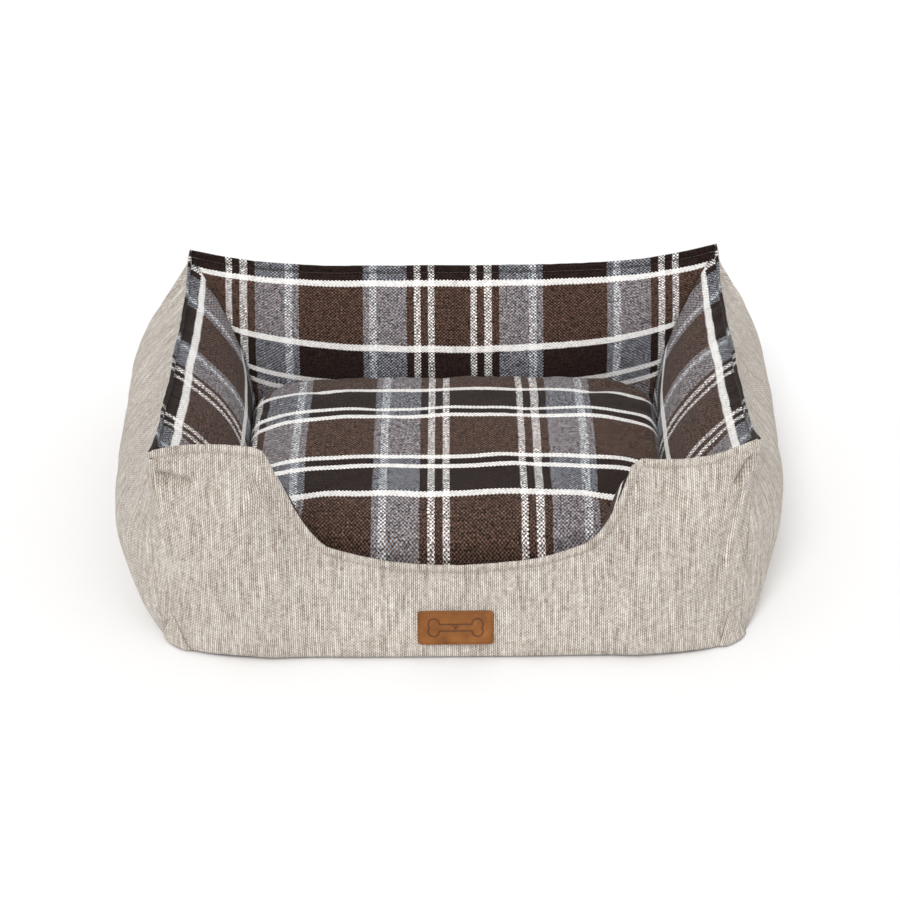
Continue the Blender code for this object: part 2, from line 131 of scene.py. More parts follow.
class Net:
    """One material's nodes, ending in a Principled shader."""

    def __init__(self, name: str, roughness: float, **constants: float | Triple) -> None:
        """Starts a material.

        Args:
            name: The material's name.
            roughness: The surface's roughness where nothing else is fed in.
            **constants: Values set on the shader's own sockets, with _ for each space in a name.
        """
        self.material = bpy.data.materials.new(name)
        self.material.use_nodes = True
        self.tree = self.material.node_tree
        self.shader = self.tree.nodes["Principled BSDF"]
        self.shader.inputs["Roughness"].default_value = roughness
        for key, value in constants.items():
            socket = self.shader.inputs[key.replace("_", " ")]
            socket.default_value = (*value, 1.0) if isinstance(value, tuple) else value

    def node(self, kind: str, settings: dict[str, object], **inputs: object) -> bpy.types.Node:
        """Adds a node.

        Args:
            kind: The node's type.
            settings: Its own settings, set before its sockets.
            **inputs: Values or signals for its sockets, by name or as _0, _1 by place.

        Returns:
            The new node.
        """
        made = self.tree.nodes.new(kind)
        for key, value in settings.items():
            if key == "stops":
                self._stops(made.color_ramp, value)
            elif key == "interpolation":
                made.color_ramp.interpolation = value
            else:
                setattr(made, key, value)
        for key, value in inputs.items():
            socket = made.inputs[int(key[1:])] if key[1:].isdigit() else made.inputs[key]
            if isinstance(value, Signal):
                self.tree.links.new(value.socket, socket)
            elif isinstance(value, tuple) and len(value) == 3 and socket.type == "RGBA":
                socket.default_value = (*value, 1.0)
            else:
                socket.default_value = value
        return made

    @staticmethod
    def _stops(ramp: bpy.types.ColorRamp, stops: Sequence[tuple[float, Triple]]) -> None:
        """Sets a colour ramp's stops from (place, colour) pairs."""
        while len(ramp.elements) > 1:
            ramp.elements.remove(ramp.elements[-1])
        for index, (place, colour) in enumerate(stops):
            element = ramp.elements[0] if index == 0 else ramp.elements.new(place)
            element.position = place
            element.color = (*colour, 1.0)

    def math(self, operation: str, first: object, second: object = 0.0) -> Signal:
        """A Math node on two numbers."""
        made = self.node("ShaderNodeMath", {"operation": operation}, _0=first, _1=second)
        return Signal(self, made.outputs[0])

    def blend(self, share: Signal | float, low: object, high: object, mode: str = "MIX") -> Signal:
        """A colour between two others."""
        settings = {"data_type": "RGBA", "blend_type": mode}
        made = self.node("ShaderNodeMix", settings, _0=share, _6=low, _7=high)
        return Signal(self, made.outputs[2])

    def ramp(self, share: Signal, stops: Sequence[tuple[float, Triple]], hard: bool = False) -> Signal:
        """A colour ramp, smooth unless it is hard."""
        settings = {"interpolation": "CONSTANT" if hard else "LINEAR", "stops": stops}
        made = self.node("ShaderNodeValToRGB", settings, Fac=share)
        return Signal(self, made.outputs["Color"])

    def cloth_place(self) -> tuple[Signal, Signal]:
        """The place on the flat cloth, in metres, from the piece's own UV map."""
        source = self.node("ShaderNodeUVMap", {"uv_map": "Cloth"})
        parts = self.node("ShaderNodeSeparateXYZ", {}, Vector=Signal(self, source.outputs["UV"]))
        return Signal(self, parts.outputs[0]), Signal(self, parts.outputs[1])

    def object_place(self) -> Signal:
        """The place in the model, in metres."""
        return Signal(self, self.node("ShaderNodeTexCoord", {}).outputs["Object"])

    def join(self, x: Signal | float, y: Signal | float, z: Signal | float = 0.0) -> Signal:
        """Three numbers as a vector."""
        return Signal(self, self.node("ShaderNodeCombineXYZ", {}, X=x, Y=y, Z=z).outputs[0])

    def grain(self, place: Signal, scale: float, detail: float = 2.0, rough: float = 0.5) -> Signal:
        """Noise between 0 and 1 over a place."""
        made = self.node("ShaderNodeTexNoise", {}, Vector=place, Scale=scale, Detail=detail, Roughness=rough)
        return Signal(self, made.outputs[0])

    def colour(self, signal: Signal) -> None:
        """Feeds the surface's colour."""
        self.tree.links.new(signal.socket, self.shader.inputs["Base Color"])

    def roughness(self, signal: Signal) -> None:
        """Feeds the surface's roughness."""
        self.tree.links.new(signal.socket, self.shader.inputs["Roughness"])

    def relief(self, height: Signal, depth: float, strength: float = 1.0) -> None:
        """Feeds the surface's normal from a height.

        Args:
            height: The height, 0 to 1.
            depth: How deep a height of 1 is, in metres.
            strength: How strongly the relief shows.
        """
        bump = self.node("ShaderNodeBump", {}, Height=height, Distance=depth, Strength=strength)
        self.tree.links.new(bump.outputs["Normal"], self.shader.inputs["Normal"])


# ---------------------------------------------------------------- finishes


@dataclass(frozen=True)
class Finish:
    """A finish that dresses a piece."""

    name: str

    def make(self) -> bpy.types.Material:
        """Builds the material. Each finish has its own."""
        raise NotImplementedError


@dataclass(frozen=True)
class LinenCloth(Finish):
    """Linen-look cloth: uneven upright threads in oat tones, ticked by the weft that crosses them, with painted
    shade that lightens each thread's crown and darkens the gaps between threads.
    """

    pitch: float = 0.0021
    slub: float = 0.046
    tick: float = 0.0034
    shadow: Triple = shade(104, 90, 80)
    dark: Triple = shade(152, 138, 127)
    middle: Triple = shade(191, 181, 170)
    light: Triple = shade(220, 213, 203)
    bright: Triple = shade(240, 235, 228)

    def make(self) -> bpy.types.Material:
        """Builds the linen.

        Returns:
            The material.
        """
        net = Net(self.name, 0.93, Sheen_Weight=0.12, Sheen_Roughness=0.5, Specular_IOR_Level=0.2)
        across, along = net.cloth_place()
        drift = net.grain(net.join(across, along), 26.0, 2.0) - 0.5
        column = (across + drift * 0.0030) / self.pitch
        number = net.math("FLOOR", column)
        body = net.math("SINE", net.math("FRACT", column) * math.pi)
        thread = net.grain(net.join(number * 3.7, along / self.slub), 1.0, 3.0, 0.6)
        yarn = net.grain(net.join(number * 5.3, along / (self.slub * 0.14)), 1.0, 1.0)
        tick = net.math("SINE", (along / self.tick + number * 0.5) * math.tau)
        pass_run = net.grain(net.join(across / 0.012, along / 0.0024), 1.0, 1.5)
        broad = net.grain(net.join(across / 0.020, along / 0.070), 1.0, 3.0) - 0.5
        # The body term is painted shade: each thread is painted lighter on its round crown and darker in the
        # gaps beside it.
        tone = (thread - 0.5) * 1.00 + (yarn - 0.5) * 0.55 + (body - 0.62) * 0.50 + tick * 0.11
        tone = tone + (pass_run - 0.5) * 0.34 + broad * 0.10 + 0.51
        stops = [
            (0.05, self.shadow), (0.26, self.dark), (0.5, self.middle), (0.74, self.light), (0.95, self.bright)
        ]
        net.colour(net.ramp(tone, stops))
        net.relief(body * 0.6 + thread * 0.6 + tick * 0.12 + pass_run * 0.25, 0.0009, 0.9)
        return net.material


class Yarn(Enum):
    """The yarns that cross in the plaid, by screen colour."""

    BROWN = (44, 28, 22)
    GREY = (146, 148, 155)
    LIGHT = (214, 219, 225)
    PALE = (240, 237, 235)
    DARK = (27, 18, 15)
    HEATHER = (98, 76, 65)
    WHITE = (255, 252, 248)


Stripes = tuple[tuple[Yarn, float], ...]


def mirrored(half: Stripes) -> Stripes:
    """A set of stripes that runs out to its last stripe and back."""
    return half + half[-2:0:-1]


THIN = 0.0080
PASS = 0.0074
WARP: Stripes = mirrored(
    (
        (Yarn.BROWN, 0.0755),
        (Yarn.PALE, THIN),
        (Yarn.BROWN, 0.0083),
        (Yarn.PALE, THIN),
        (Yarn.BROWN, 0.0088),
        (Yarn.GREY, 0.0350),
        (Yarn.LIGHT, 0.0090),
        (Yarn.GREY, 0.0075),
        (Yarn.BROWN, 0.0745),
    )
)
WEFT: Stripes = (
    (Yarn.WHITE, PASS),
    (Yarn.DARK, 0.0453),
    (Yarn.WHITE, PASS),
    (Yarn.DARK, 0.0103),
    (Yarn.WHITE, PASS),
    (Yarn.HEATHER, 0.0733),
    (Yarn.WHITE, PASS),
    (Yarn.DARK, 0.0103),
    (Yarn.WHITE, PASS),
    (Yarn.DARK, 0.0453),
    (Yarn.WHITE, PASS),
    (Yarn.HEATHER, 0.0793),
)


def run(stripes: Stripes) -> float:
    """How wide one repeat of the stripes is."""
    return sum(width for _, width in stripes)


@dataclass(frozen=True)
class PlaidCloth(Finish):
    """Brown, grey and white plaid: striped warp and weft yarns that cross in a coarse weave.

    Attributes:
        check: How wide two crossings of the weave are, in metres.
        darkest: How far a fleck may darken the cloth, as a share of its colour.
    """

    check: float = 0.0042
    darkest: float = 0.25

    def yarns(self, net: Net, place: Signal, stripes: Stripes, look: Callable[[Yarn], Triple]) -> Signal:
        """The colour of the yarn at a place across a set of stripes.

        Args:
            net: The material.
            place: The place across the stripes, in metres.
            stripes: One repeat of the stripes.
            look: What to show for each yarn.

        Returns:
            The colour.
        """
        repeat = run(stripes)
        share = net.math("FRACT", place / repeat)
        stops, edge = [], 0.0
        for yarn, width in stripes:
            stops.append((edge / repeat, look(yarn)))
            edge += width
        return net.ramp(share, stops, hard=True)

    def make(self) -> bpy.types.Material:
        """Builds the plaid.

        Returns:
            The material.
        """
        net = Net(self.name, 0.92, Sheen_Weight=0.10, Sheen_Roughness=0.5, Specular_IOR_Level=0.15)
        across, along = net.cloth_place()
        sway = net.grain(net.join(across, along), 55.0, 1.0) - 0.5
        warp_wave = net.math("SINE", (across + sway * 0.0008) * (math.tau / self.check))
        weft_wave = net.math("SINE", (along + sway * 0.0008) * (math.tau / self.check))
        raw = warp_wave * weft_wave * 1.8 + 0.5
        weave = net.math("MINIMUM", net.math("MAXIMUM", raw, 0.0), 1.0)
        tooth = (weave - 0.5) * 0.0010
        warp = self.yarns(net, across + tooth + sway * 0.0005, WARP, lambda yarn: shade(*yarn.value))
        weft = self.yarns(net, along + tooth + sway * 0.0005, WEFT, lambda yarn: shade(*yarn.value))
        bright = self.yarns(net, along + tooth, WEFT, lambda yarn: (float(yarn is Yarn.WHITE),) * 3)
        white = net.math("MAXIMUM", bright, 0.0)
        cover = weave * (0.92 - white * 0.60) + 0.02 + white * 0.62
        cloth = net.blend(cover, warp, weft)
        warps = net.grain(net.join(across / 0.0026, along / 0.010), 1.0, 2.0, 0.6)
        wefts = net.grain(net.join(across / 0.010, along / 0.0026), 1.0, 2.0, 0.6)
        fleck = net.grain(net.join(across / 0.0026, along / 0.0026), 1.0, 1.0, 0.7)
        speckle = (warps - 0.5) * 2.4 + (wefts - 0.5) * 2.4 + (fleck - 0.5) * 4.2
        speckle = speckle * (1 - white * 0.78) + (1.10 + white * 0.02)
        speckle = net.math("MAXIMUM", speckle, self.darkest)
        lit = net.join(speckle, speckle, speckle)
        net.colour(net.blend(1.0, cloth, lit, "MULTIPLY"))
        net.relief(weave * 0.5 + fleck * 0.5 + wefts * 0.5, 0.0009, 0.9)
        return net.material


@dataclass(frozen=True)
class TanLeather(Finish):
    """Tan leather with a fine pebble and a darker stamped mark."""

    deep: Triple = shade(104, 59, 21)
    face: Triple = shade(135, 82, 33)
    pale: Triple = shade(157, 102, 48)
    burnt: Triple = shade(70, 38, 15)

    def make(self) -> bpy.types.Material:
        """Builds the leather."""
        net = Net(self.name, 0.6, Specular_IOR_Level=0.3)
        place = net.object_place()
        pebble = net.grain(place, 900.0, 3.0, 0.6)
        cloud = net.grain(place, 70.0, 3.0)
        tone = cloud * 0.75 + pebble * 0.4 - 0.08
        plain = net.ramp(tone, [(0.25, self.deep), (0.52, self.face), (0.8, self.pale)])
        stamped = net.node("ShaderNodeAttribute", {"attribute_name": "Stamped"})
        net.colour(net.blend(Signal(net, stamped.outputs["Fac"]) * 0.9, plain, self.burnt))
        net.roughness(pebble * 0.3 + 0.4)
        net.relief(pebble, 0.0004, 0.6)
        return net.material


@dataclass(frozen=True)
class PlainYarn(Finish):
    """Twisted sewing thread or plain woven tape in one tone."""

    tone: Triple
    pitch: float = 0.0006
    roughness: float = 0.75

    def make(self) -> bpy.types.Material:
        """Builds the yarn."""
        net = Net(self.name, self.roughness, Sheen_Weight=0.1)
        place = net.object_place()
        fibre = net.grain(place, 1 / self.pitch, 2.0)
        low = tuple(channel * 0.7 for channel in self.tone)
        high = tuple(min(1.0, channel * 1.25) for channel in self.tone)
        net.colour(net.ramp(fibre, [(0.3, low), (0.7, high)]))
        net.relief(fibre, 0.0003, 0.5)
        return net.material


@dataclass(frozen=True)
class SoftFibre(Finish):
    """White stuffing or pale foam: cloudy and matt."""

    tone: Triple
    cell: float = 0.004

    def make(self) -> bpy.types.Material:
        """Builds the stuffing."""
        net = Net(self.name, 0.95, Sheen_Weight=0.2)
        place = net.object_place()
        cloud = net.grain(place, 1 / self.cell, 4.0, 0.65)
        low = tuple(channel * 0.8 for channel in self.tone)
        net.colour(net.ramp(cloud, [(0.3, low), (0.65, self.tone)]))
        net.relief(cloud, 0.002, 0.7)
        return net.material


@dataclass(frozen=True)
class HardTrim(Finish):
    """Painted metal or nylon of the zip."""

    tone: Triple
    roughness: float
    metallic: float

    def make(self) -> bpy.types.Material:
        """Builds the trim."""
        net = Net(self.name, self.roughness, Metallic=self.metallic)
        wear = net.grain(net.object_place(), 700.0, 3.0)
        low = tuple(channel * 0.75 for channel in self.tone)
        net.colour(net.ramp(wear, [(0.35, low), (0.7, self.tone)]))
        net.roughness(wear * 0.25 + (self.roughness - 0.1))
        return net.material


@dataclass(frozen=True)
class StudioPaper(Finish):
    """The pale floor that the bed stands on."""

    def make(self) -> bpy.types.Material:
        """Builds the floor's finish."""
        net = Net(self.name, 0.9, Specular_IOR_Level=0.1)
        cloud = net.grain(net.object_place(), 3.0, 2.0)
        net.colour(net.ramp(cloud, [(0.2, (0.982, 0.982, 0.982)), (0.8, (0.988, 0.988, 0.988))]))
        return net.material


class Wardrobe:
    """The finishes, each made once."""

    def __init__(self) -> None:
        """Makes every finish."""
        self.linen = LinenCloth("oat_linen").make()
        self.plaid = PlaidCloth("brown_plaid").make()
        self.leather = TanLeather("tan_leather").make()
        self.oat_thread = PlainYarn("oat_thread", shade(206, 196, 184)).make()
        self.brown_thread = PlainYarn("brown_thread", shade(92, 74, 66)).make()
        self.tan_thread = PlainYarn("tan_thread", shade(120, 72, 38)).make()
        self.base = PlainYarn("base_cloth", shade(62, 58, 55), 0.0011, 0.9).make()
        self.tape = PlainYarn("zip_tape", shade(58, 46, 42), 0.0008, 0.85).make()
        self.fibre = SoftFibre("fibre_filling", shade(240, 239, 234)).make()
        self.foam = SoftFibre("base_foam", shade(228, 222, 204), 0.0022).make()
        self.nylon = HardTrim("zip_nylon", shade(52, 42, 38), 0.42, 0.0).make()
        self.metal = HardTrim("zip_metal", shade(84, 72, 66), 0.35, 0.85).make()
        self.paper = StudioPaper("studio_paper").make()


# ---------------------------------------------------------------- making and dressing pieces


def dressed(name: str, body: bmesh.types.BMesh, look: bpy.types.Material) -> bpy.types.Object:
    """Makes a bmesh an object at the origin, shaded smooth and dressed.

    Args:
        name: The piece's name.
        body: Its mesh, in the frame's own metres.
        look: Its material.

    Returns:
        The new object.
    """
    mesh = bpy.data.meshes.new(name)
    body.to_mesh(mesh)
    body.free()
    mesh.materials.append(look)
    mesh.shade_smooth()
    piece = bpy.data.objects.new(name, mesh)
    bpy.context.collection.objects.link(piece)
    return piece


def thicken(piece: bpy.types.Object, thickness: float) -> None:
    """Gives a sheet its thickness, on its inner side."""
    wall = piece.modifiers.new("Thickness", "SOLIDIFY")
    wall.thickness = thickness
    wall.offset = -1.0


def face_towards(body: bmesh.types.BMesh, direction: Vector) -> None:
    """Turns a sheet's faces so that, taken together, they face that way."""
    body.normal_update()
    facing = sum((face.normal * face.calc_area() for face in body.faces), Vector())
    if facing.dot(direction) < 0:
        bmesh.ops.reverse_faces(body, faces=body.faces)
    body.normal_update()


Grid = list[list[Vector]]
Flat = list[list[tuple[float, float]]]


@dataclass
class LaidCloth:
    """A grid of cloth laid over a form: where each point lies in space and on the flat cloth."""

    points: Grid
    flat: Flat

    def build(self) -> tuple[bmesh.types.BMesh, list[tuple[int, int]]]:
        """Builds the grid with its Cloth UV map.

        Returns:
            The mesh, and the row and column of each of its points.
        """
        rows, columns = len(self.points) - 1, len(self.points[0]) - 1
        body = bmesh.new()
        bmesh.ops.create_grid(body, x_segments=columns, y_segments=rows, size=1)
        cloth = body.loops.layers.uv.new("Cloth")
        spots = [(round((1 - v.co.y) / 2 * rows), round((v.co.x + 1) / 2 * columns)) for v in body.verts]
        body.verts.index_update()
        for cell in body.faces:
            for corner in cell.loops:
                row, column = spots[corner.vert.index]
                corner[cloth].uv = self.flat[row][column]
        for vertex, (row, column) in zip(body.verts, spots):
            vertex.co = self.points[row][column]
        return body, spots


def absorb(body: bmesh.types.BMesh, other: bmesh.types.BMesh, gap: float) -> None:
    """Adds a second sheet to a first and welds their edges.

    Args:
        body: The sheet that stays.
        other: The sheet that it takes in, which is freed.
        gap: How far apart two points may be to be welded, in metres.
    """
    scratch = bpy.data.meshes.new("second_sheet")
    other.to_mesh(scratch)
    other.free()
    body.from_mesh(scratch)
    bpy.data.meshes.remove(scratch)
    bmesh.ops.remove_doubles(body, verts=body.verts, dist=gap)


def running_lengths(points: Sequence[Vector]) -> list[float]:
    """How far along a line of points each one lies."""
    lengths = [0.0]
    for near, far in zip(points, points[1:]):
        lengths.append(lengths[-1] + (far - near).length)
    return lengths


def evenly(points: Callable[[float], Vector], start: float, end: float, count: int) -> list[float]:
    """Places between start and end that lie evenly along a curve.

    Args:
        points: The curve.
        start: Its first place.
        end: Its last place.
        count: How many steps to take.

    Returns:
        The places, one more than the steps.
    """
    samples = [mix(start, end, index / 600) for index in range(601)]
    lengths = running_lengths([points(place) for place in samples])
    places, low = [], 0
    for step in range(count + 1):
        wanted = lengths[-1] * step / count
        while low < len(lengths) - 2 and lengths[low + 1] < wanted:
            low += 1
        share = (wanted - lengths[low]) / (lengths[low + 1] - lengths[low])
        places.append(mix(samples[low], samples[low + 1], share))
    return places


# ---------------------------------------------------------------- the shape of the walls


def spread(x: float, y: float, half_x: float, half_y: float, power: float) -> Vector:
    """A point of the unit square, carried to a rectangle with rounded corners.

    Args:
        x: The point's place across, -1 to 1.
        y: Its place up, -1 to 1.
        half_x: Half the rectangle's width.
        half_y: Half its depth.
        power: How square its corners are.

    Returns:
        The point in plan.
    """
    reach = max(abs(x), abs(y))
    return rounded((x / reach, y / reach), half_x, half_y, power) * reach if reach > 1e-9 else Vector()


class Side(Enum):
    """A wall: where it starts and ends on the unit square, and which way it faces."""

    FRONT = ((-1, -1), (1, -1), (0, -1))
    RIGHT = ((1, -1), (1, 1), (1, 0))
    BACK = ((1, 1), (-1, 1), (0, 1))
    LEFT = ((-1, 1), (-1, -1), (-1, 0))

    @property
    def label(self) -> str:
        """The wall's name in the frame."""
        return self.name.lower()

    @property
    def outward(self) -> Vector:
        """The way that the wall faces."""
        return Vector((*self.value[2], 0))

    @property
    def long(self) -> bool:
        """Whether the wall runs left to right."""
        return self in (Side.FRONT, Side.BACK)

    def neighbour(self, turn: int) -> "Side":
        """The wall that many corners further round."""
        order = list(Side)
        return order[(order.index(self) + turn) % len(order)]

    def on_square(self, along: float) -> tuple[float, float]:
        """The unit square's edge at -1 to 1 along the wall."""
        start, end, _ = self.value
        share = (along + 1) / 2
        return mix(start[0], end[0], share), mix(start[1], end[1], share)


def rounded(point: tuple[float, float], half_x: float, half_y: float, power: float) -> Vector:
    """A point on the unit square's edge, carried to a rectangle with rounded corners.

    Args:
        point: The point on the square's edge.
        half_x: Half the rectangle's width.
        half_y: Half its depth.
        power: How square its corners are.

    Returns:
        The point in plan.
    """
    x, y = point
    scale = (abs(x) ** power + abs(y) ** power) ** (-1 / power)
    return Vector((half_x * x * scale, half_y * y * scale, 0))


@dataclass(frozen=True)
class DipEnd:
    """One end of the dip: where it starts to climb, how far, how steeply, and the shoulder that it reaches."""

    start: float
    width: float
    power: float
    shoulder: float
    crest: float


@dataclass
class NestForm:
    """The shape of the four stuffed walls: one seam round the top, bulging faces, and the dip in front."""

    seam_half_x: float = 0.306
    seam_half_y: float = 0.223
    ears: dict[tuple[int, int], float] = field(
        default_factory=lambda: {(-1, -1): 0.2290, (1, -1): 0.2385, (-1, 1): 0.2340, (1, 1): 0.2360}
    )
    middles: dict[str, float] = field(default_factory=lambda: {"back": 0.2105, "left": 0.206, "right": 0.206})
    flange: float = 0.009
    dip_height: float = 0.088
    dip_rise: float = 0.030
    dip_half_width: float = 0.148
    dip_power: float = 2.2
    dip_left: DipEnd = DipEnd(0.128, 0.071, 2.2, 0.2310, 0.005)
    dip_right: DipEnd = DipEnd(0.124, 0.064, 3.2, 0.2150, -0.004)
    corner_softness: float = 0.0025
    front_bulge_power: float = 3.6
    back_bulge_power: float = 7.0
    front_slack: float = -0.0080
    back_slack: float = 0.0130
    lean: float = -0.0060
    upper_swell: float = 1.15
    lower_swell: float = 0.42
    base_power: float = 9.0
    well_half_x: float = 0.236
    well_back: float = 0.166
    well_front: float = 0.178
    well_corner: float = 0.013
    floor_power: float = 14.0
    foot_height: float = 0.0016
    floor_height: float = 0.0185
    cover: float = 0.0013

    def __post_init__(self) -> None:
        """Reads the outlines that the frame's own nodes give."""
        base_low, base_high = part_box("base_fabric")
        self.middle = (base_low + base_high) / 2
        self.middle.z = 0
        self.base_half = (base_high - base_low) / 2
        self.bulge_half_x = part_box("right_outer_panel")[1].x - self.cover
        self.bulge_half_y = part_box("back_outer_panel")[1].y - self.middle.y - self.cover
        pad_low, pad_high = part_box("base_pad")
        self.floor_half = (pad_high - pad_low) / 2

    def resolve(self, side: Side, along: float) -> tuple[Side, float]:
        """The wall and the place on it, for a place that may run on round a corner."""
        if abs(along) <= 1:
            return side, along
        turn = 1 if along > 0 else -1
        after = side.neighbour(turn)
        past = (abs(along) - 1) * self.half_length(side) / self.half_length(after)
        return after, turn * (past - 1)

    def half_length(self, side: Side) -> float:
        """Half the length of a wall's seam in plan."""
        return self.seam_half_x if side.long else self.seam_half_y

    def ear(self, side: Side, along: float) -> float:
        """The height of the corner nearer to that place."""
        x, y = side.on_square(1 if along > 0 else -1)
        return self.ears[(round(x), round(y))]

    def seam_height(self, side: Side, along: float) -> float:
        """How high the seam under the flange is at -1 to 1 along a wall."""
        if side is not Side.FRONT:
            return mix(self.middles[side.label], self.ear(side, along), along**4) - self.flange
        end = self.dip_right if along > 0 else self.dip_left
        across = abs(along) * self.seam_half_x
        top = end.start + end.width
        reach = min(across, top) / self.dip_half_width
        dip = self.dip_height + self.dip_rise * reach**self.dip_power
        climb = max(0.0, (across - end.start) / end.width) ** end.power
        share = min(max((across - top) / (self.seam_half_x - top), 0.0), 1.0)
        shoulder = mix(end.shoulder, self.ear(side, along), share**2.2) + end.crest * math.sin(math.pi * share)
        slope = dip + (end.shoulder - dip) * climb
        soft = self.corner_softness
        lower = min(slope, shoulder)
        gap = abs(slope - shoulder)
        return lower - soft * math.log(1 + math.exp(-gap / soft)) - self.flange

    def fullness(self, side: Side, along: float) -> float:
        """How strongly a wall is stuffed there: less in the dip, where it is low."""
        if side is not Side.FRONT:
            return 1.0
        return mix(0.5, 1.0, smooth_step((self.seam_height(side, along) - self.dip_height) / 0.11))

    def seam(self, side: Side, along: float) -> Vector:
        """A point of the seam."""
        side, along = self.resolve(side, along)
        x, y = side.on_square(along)
        return Vector((x * self.seam_half_x, y * self.seam_half_y, self.seam_height(side, along))) + self.middle

    def foot(self, side: Side, along: float, inside: bool) -> Vector:
        """Where a face meets the ground outside, or the floor inside."""
        point = side.on_square(along)
        if inside:
            plan = rounded(point, self.floor_half.x, self.floor_half.y, self.floor_power)
            return plan + self.middle + Vector((0, 0, self.floor_height))
        plan = rounded(point, self.base_half.x, self.base_half.y, self.base_power)
        return plan + self.middle + Vector((0, 0, self.foot_height))

    def bulge(self, side: Side, along: float, inside: bool) -> Vector:
        """The fullest place of a face, in plan."""
        x, y = side.on_square(along)
        if not inside:
            back = smooth_step((y + 1) / 2)
            power = mix(self.front_bulge_power, self.back_bulge_power, back)
            half_x = self.bulge_half_x + mix(self.front_slack, self.back_slack, back)
            plan = rounded((x, y), half_x, self.bulge_half_y, power)
            return plan + self.middle + Vector((self.lean * x * x, 0, 0))
        deep = self.well_back if y > 0 else self.well_front
        corner = self.well_corner
        return Vector((x * (self.well_half_x + corner * y * y), y * (deep + corner * x * x), 0)) + self.middle

    def face(self, side: Side, along: float, down: float, inside: bool) -> Vector:
        """A point of a face, from the seam (down = 0) to its foot (down = 1)."""
        side, along = self.resolve(side, along)
        seam, foot = self.seam(side, along), self.foot(side, along, inside)
        reach = self.bulge(side, along, inside) - (seam + foot) / 2
        reach.z = 0
        power = 0.8 if inside else mix(self.upper_swell, self.lower_swell, smooth_step(down))
        swell = self.fullness(side, along) * math.sin(math.pi * min(max(down, 0.0), 1.0)) ** power
        return mix(seam, foot, down) + reach * swell

    def facing(self, side: Side, along: float) -> Vector:
        """The way a wall faces there, turning smoothly round its ends."""
        here, place = self.resolve(side, along)
        turn = 1 if place > 0 else -1
        share = 0.5 * smooth_step((abs(place) - 0.955) / 0.045)
        return mix(here.outward, here.neighbour(turn).outward, share).normalized()

    def upward(self, side: Side, along: float) -> Vector:
        """Upwards from the seam and square to it, in the wall's own upright plane."""
        here, place = self.resolve(side, along)
        step = 0.004
        near, far = max(place - step, -1.0), min(place + step, 1.0)
        tangent = self.seam(here, far) - self.seam(here, near)
        lean = -tangent.cross(here.outward).normalized()
        return mix(lean, Vector((0, 0, 1)), smooth_step((abs(place) - 0.95) / 0.05)).normalized()


FORM = NestForm()


@dataclass(frozen=True)
class Pinch:
    """A short fold pressed into an outer face, from one place on it to another.

    Attributes:
        side: The wall.
        start: Metres along the wall from its middle, and metres below the seam.
        end: The same for its other end.
        depth: How far it draws the cloth in.
        width: How wide it is.
    """

    side: Side
    start: tuple[float, float]
    end: tuple[float, float]
    depth: float
    width: float

    def press(self, across: float, below: float) -> float:
        """How far the fold draws the cloth in at a place."""
        run_x, run_y = self.end[0] - self.start[0], self.end[1] - self.start[1]
        length = math.hypot(run_x, run_y)
        off_x, off_y = across - self.start[0], below - self.start[1]
        share = (off_x * run_x + off_y * run_y) / length**2
        aside = (off_x * run_y - off_y * run_x) / length
        fade = smooth_step(min(share, 1 - share) * 3 + 0.5)
        valley = math.exp(-((aside / self.width) ** 2))
        ridge = 0.5 * math.exp(-(((aside - 2 * self.width) / (1.2 * self.width)) ** 2))
        return self.depth * fade * (valley - ridge)


PINCHES = (
    Pinch(Side.FRONT, (-0.302, 0.019), (-0.262, 0.032), 0.0130, 0.0060),
    Pinch(Side.FRONT, (-0.300, 0.032), (-0.232, 0.054), 0.0032, 0.0085),
    Pinch(Side.FRONT, (-0.286, 0.008), (-0.266, 0.018), 0.0026, 0.0036),
    Pinch(Side.FRONT, (0.301, 0.010), (0.288, 0.036), 0.0120, 0.0056),
    Pinch(Side.FRONT, (0.300, 0.036), (0.284, 0.130), 0.0034, 0.0085),
    Pinch(Side.FRONT, (-0.194, 0.010), (-0.212, 0.036), 0.0044, 0.0050),
    Pinch(Side.FRONT, (0.204, 0.010), (0.226, 0.036), 0.0034, 0.0060),
    Pinch(Side.FRONT, (-0.232, 0.060), (-0.190, 0.120), 0.0022, 0.0110),
    Pinch(Side.FRONT, (0.236, 0.060), (0.200, 0.140), 0.0022, 0.0120),
    Pinch(Side.LEFT, (0.206, 0.014), (0.172, 0.036), 0.0052, 0.0050),
    Pinch(Side.LEFT, (-0.210, 0.012), (-0.172, 0.040), 0.0044, 0.0055),
    Pinch(Side.RIGHT, (-0.206, 0.012), (-0.172, 0.040), 0.0052, 0.0050),
    Pinch(Side.RIGHT, (0.210, 0.012), (0.172, 0.040), 0.0044, 0.0055),
    Pinch(Side.BACK, (-0.296, 0.012), (-0.250, 0.036), 0.0044, 0.0055),
    Pinch(Side.BACK, (0.296, 0.012), (0.250, 0.036), 0.0044, 0.0055),
)


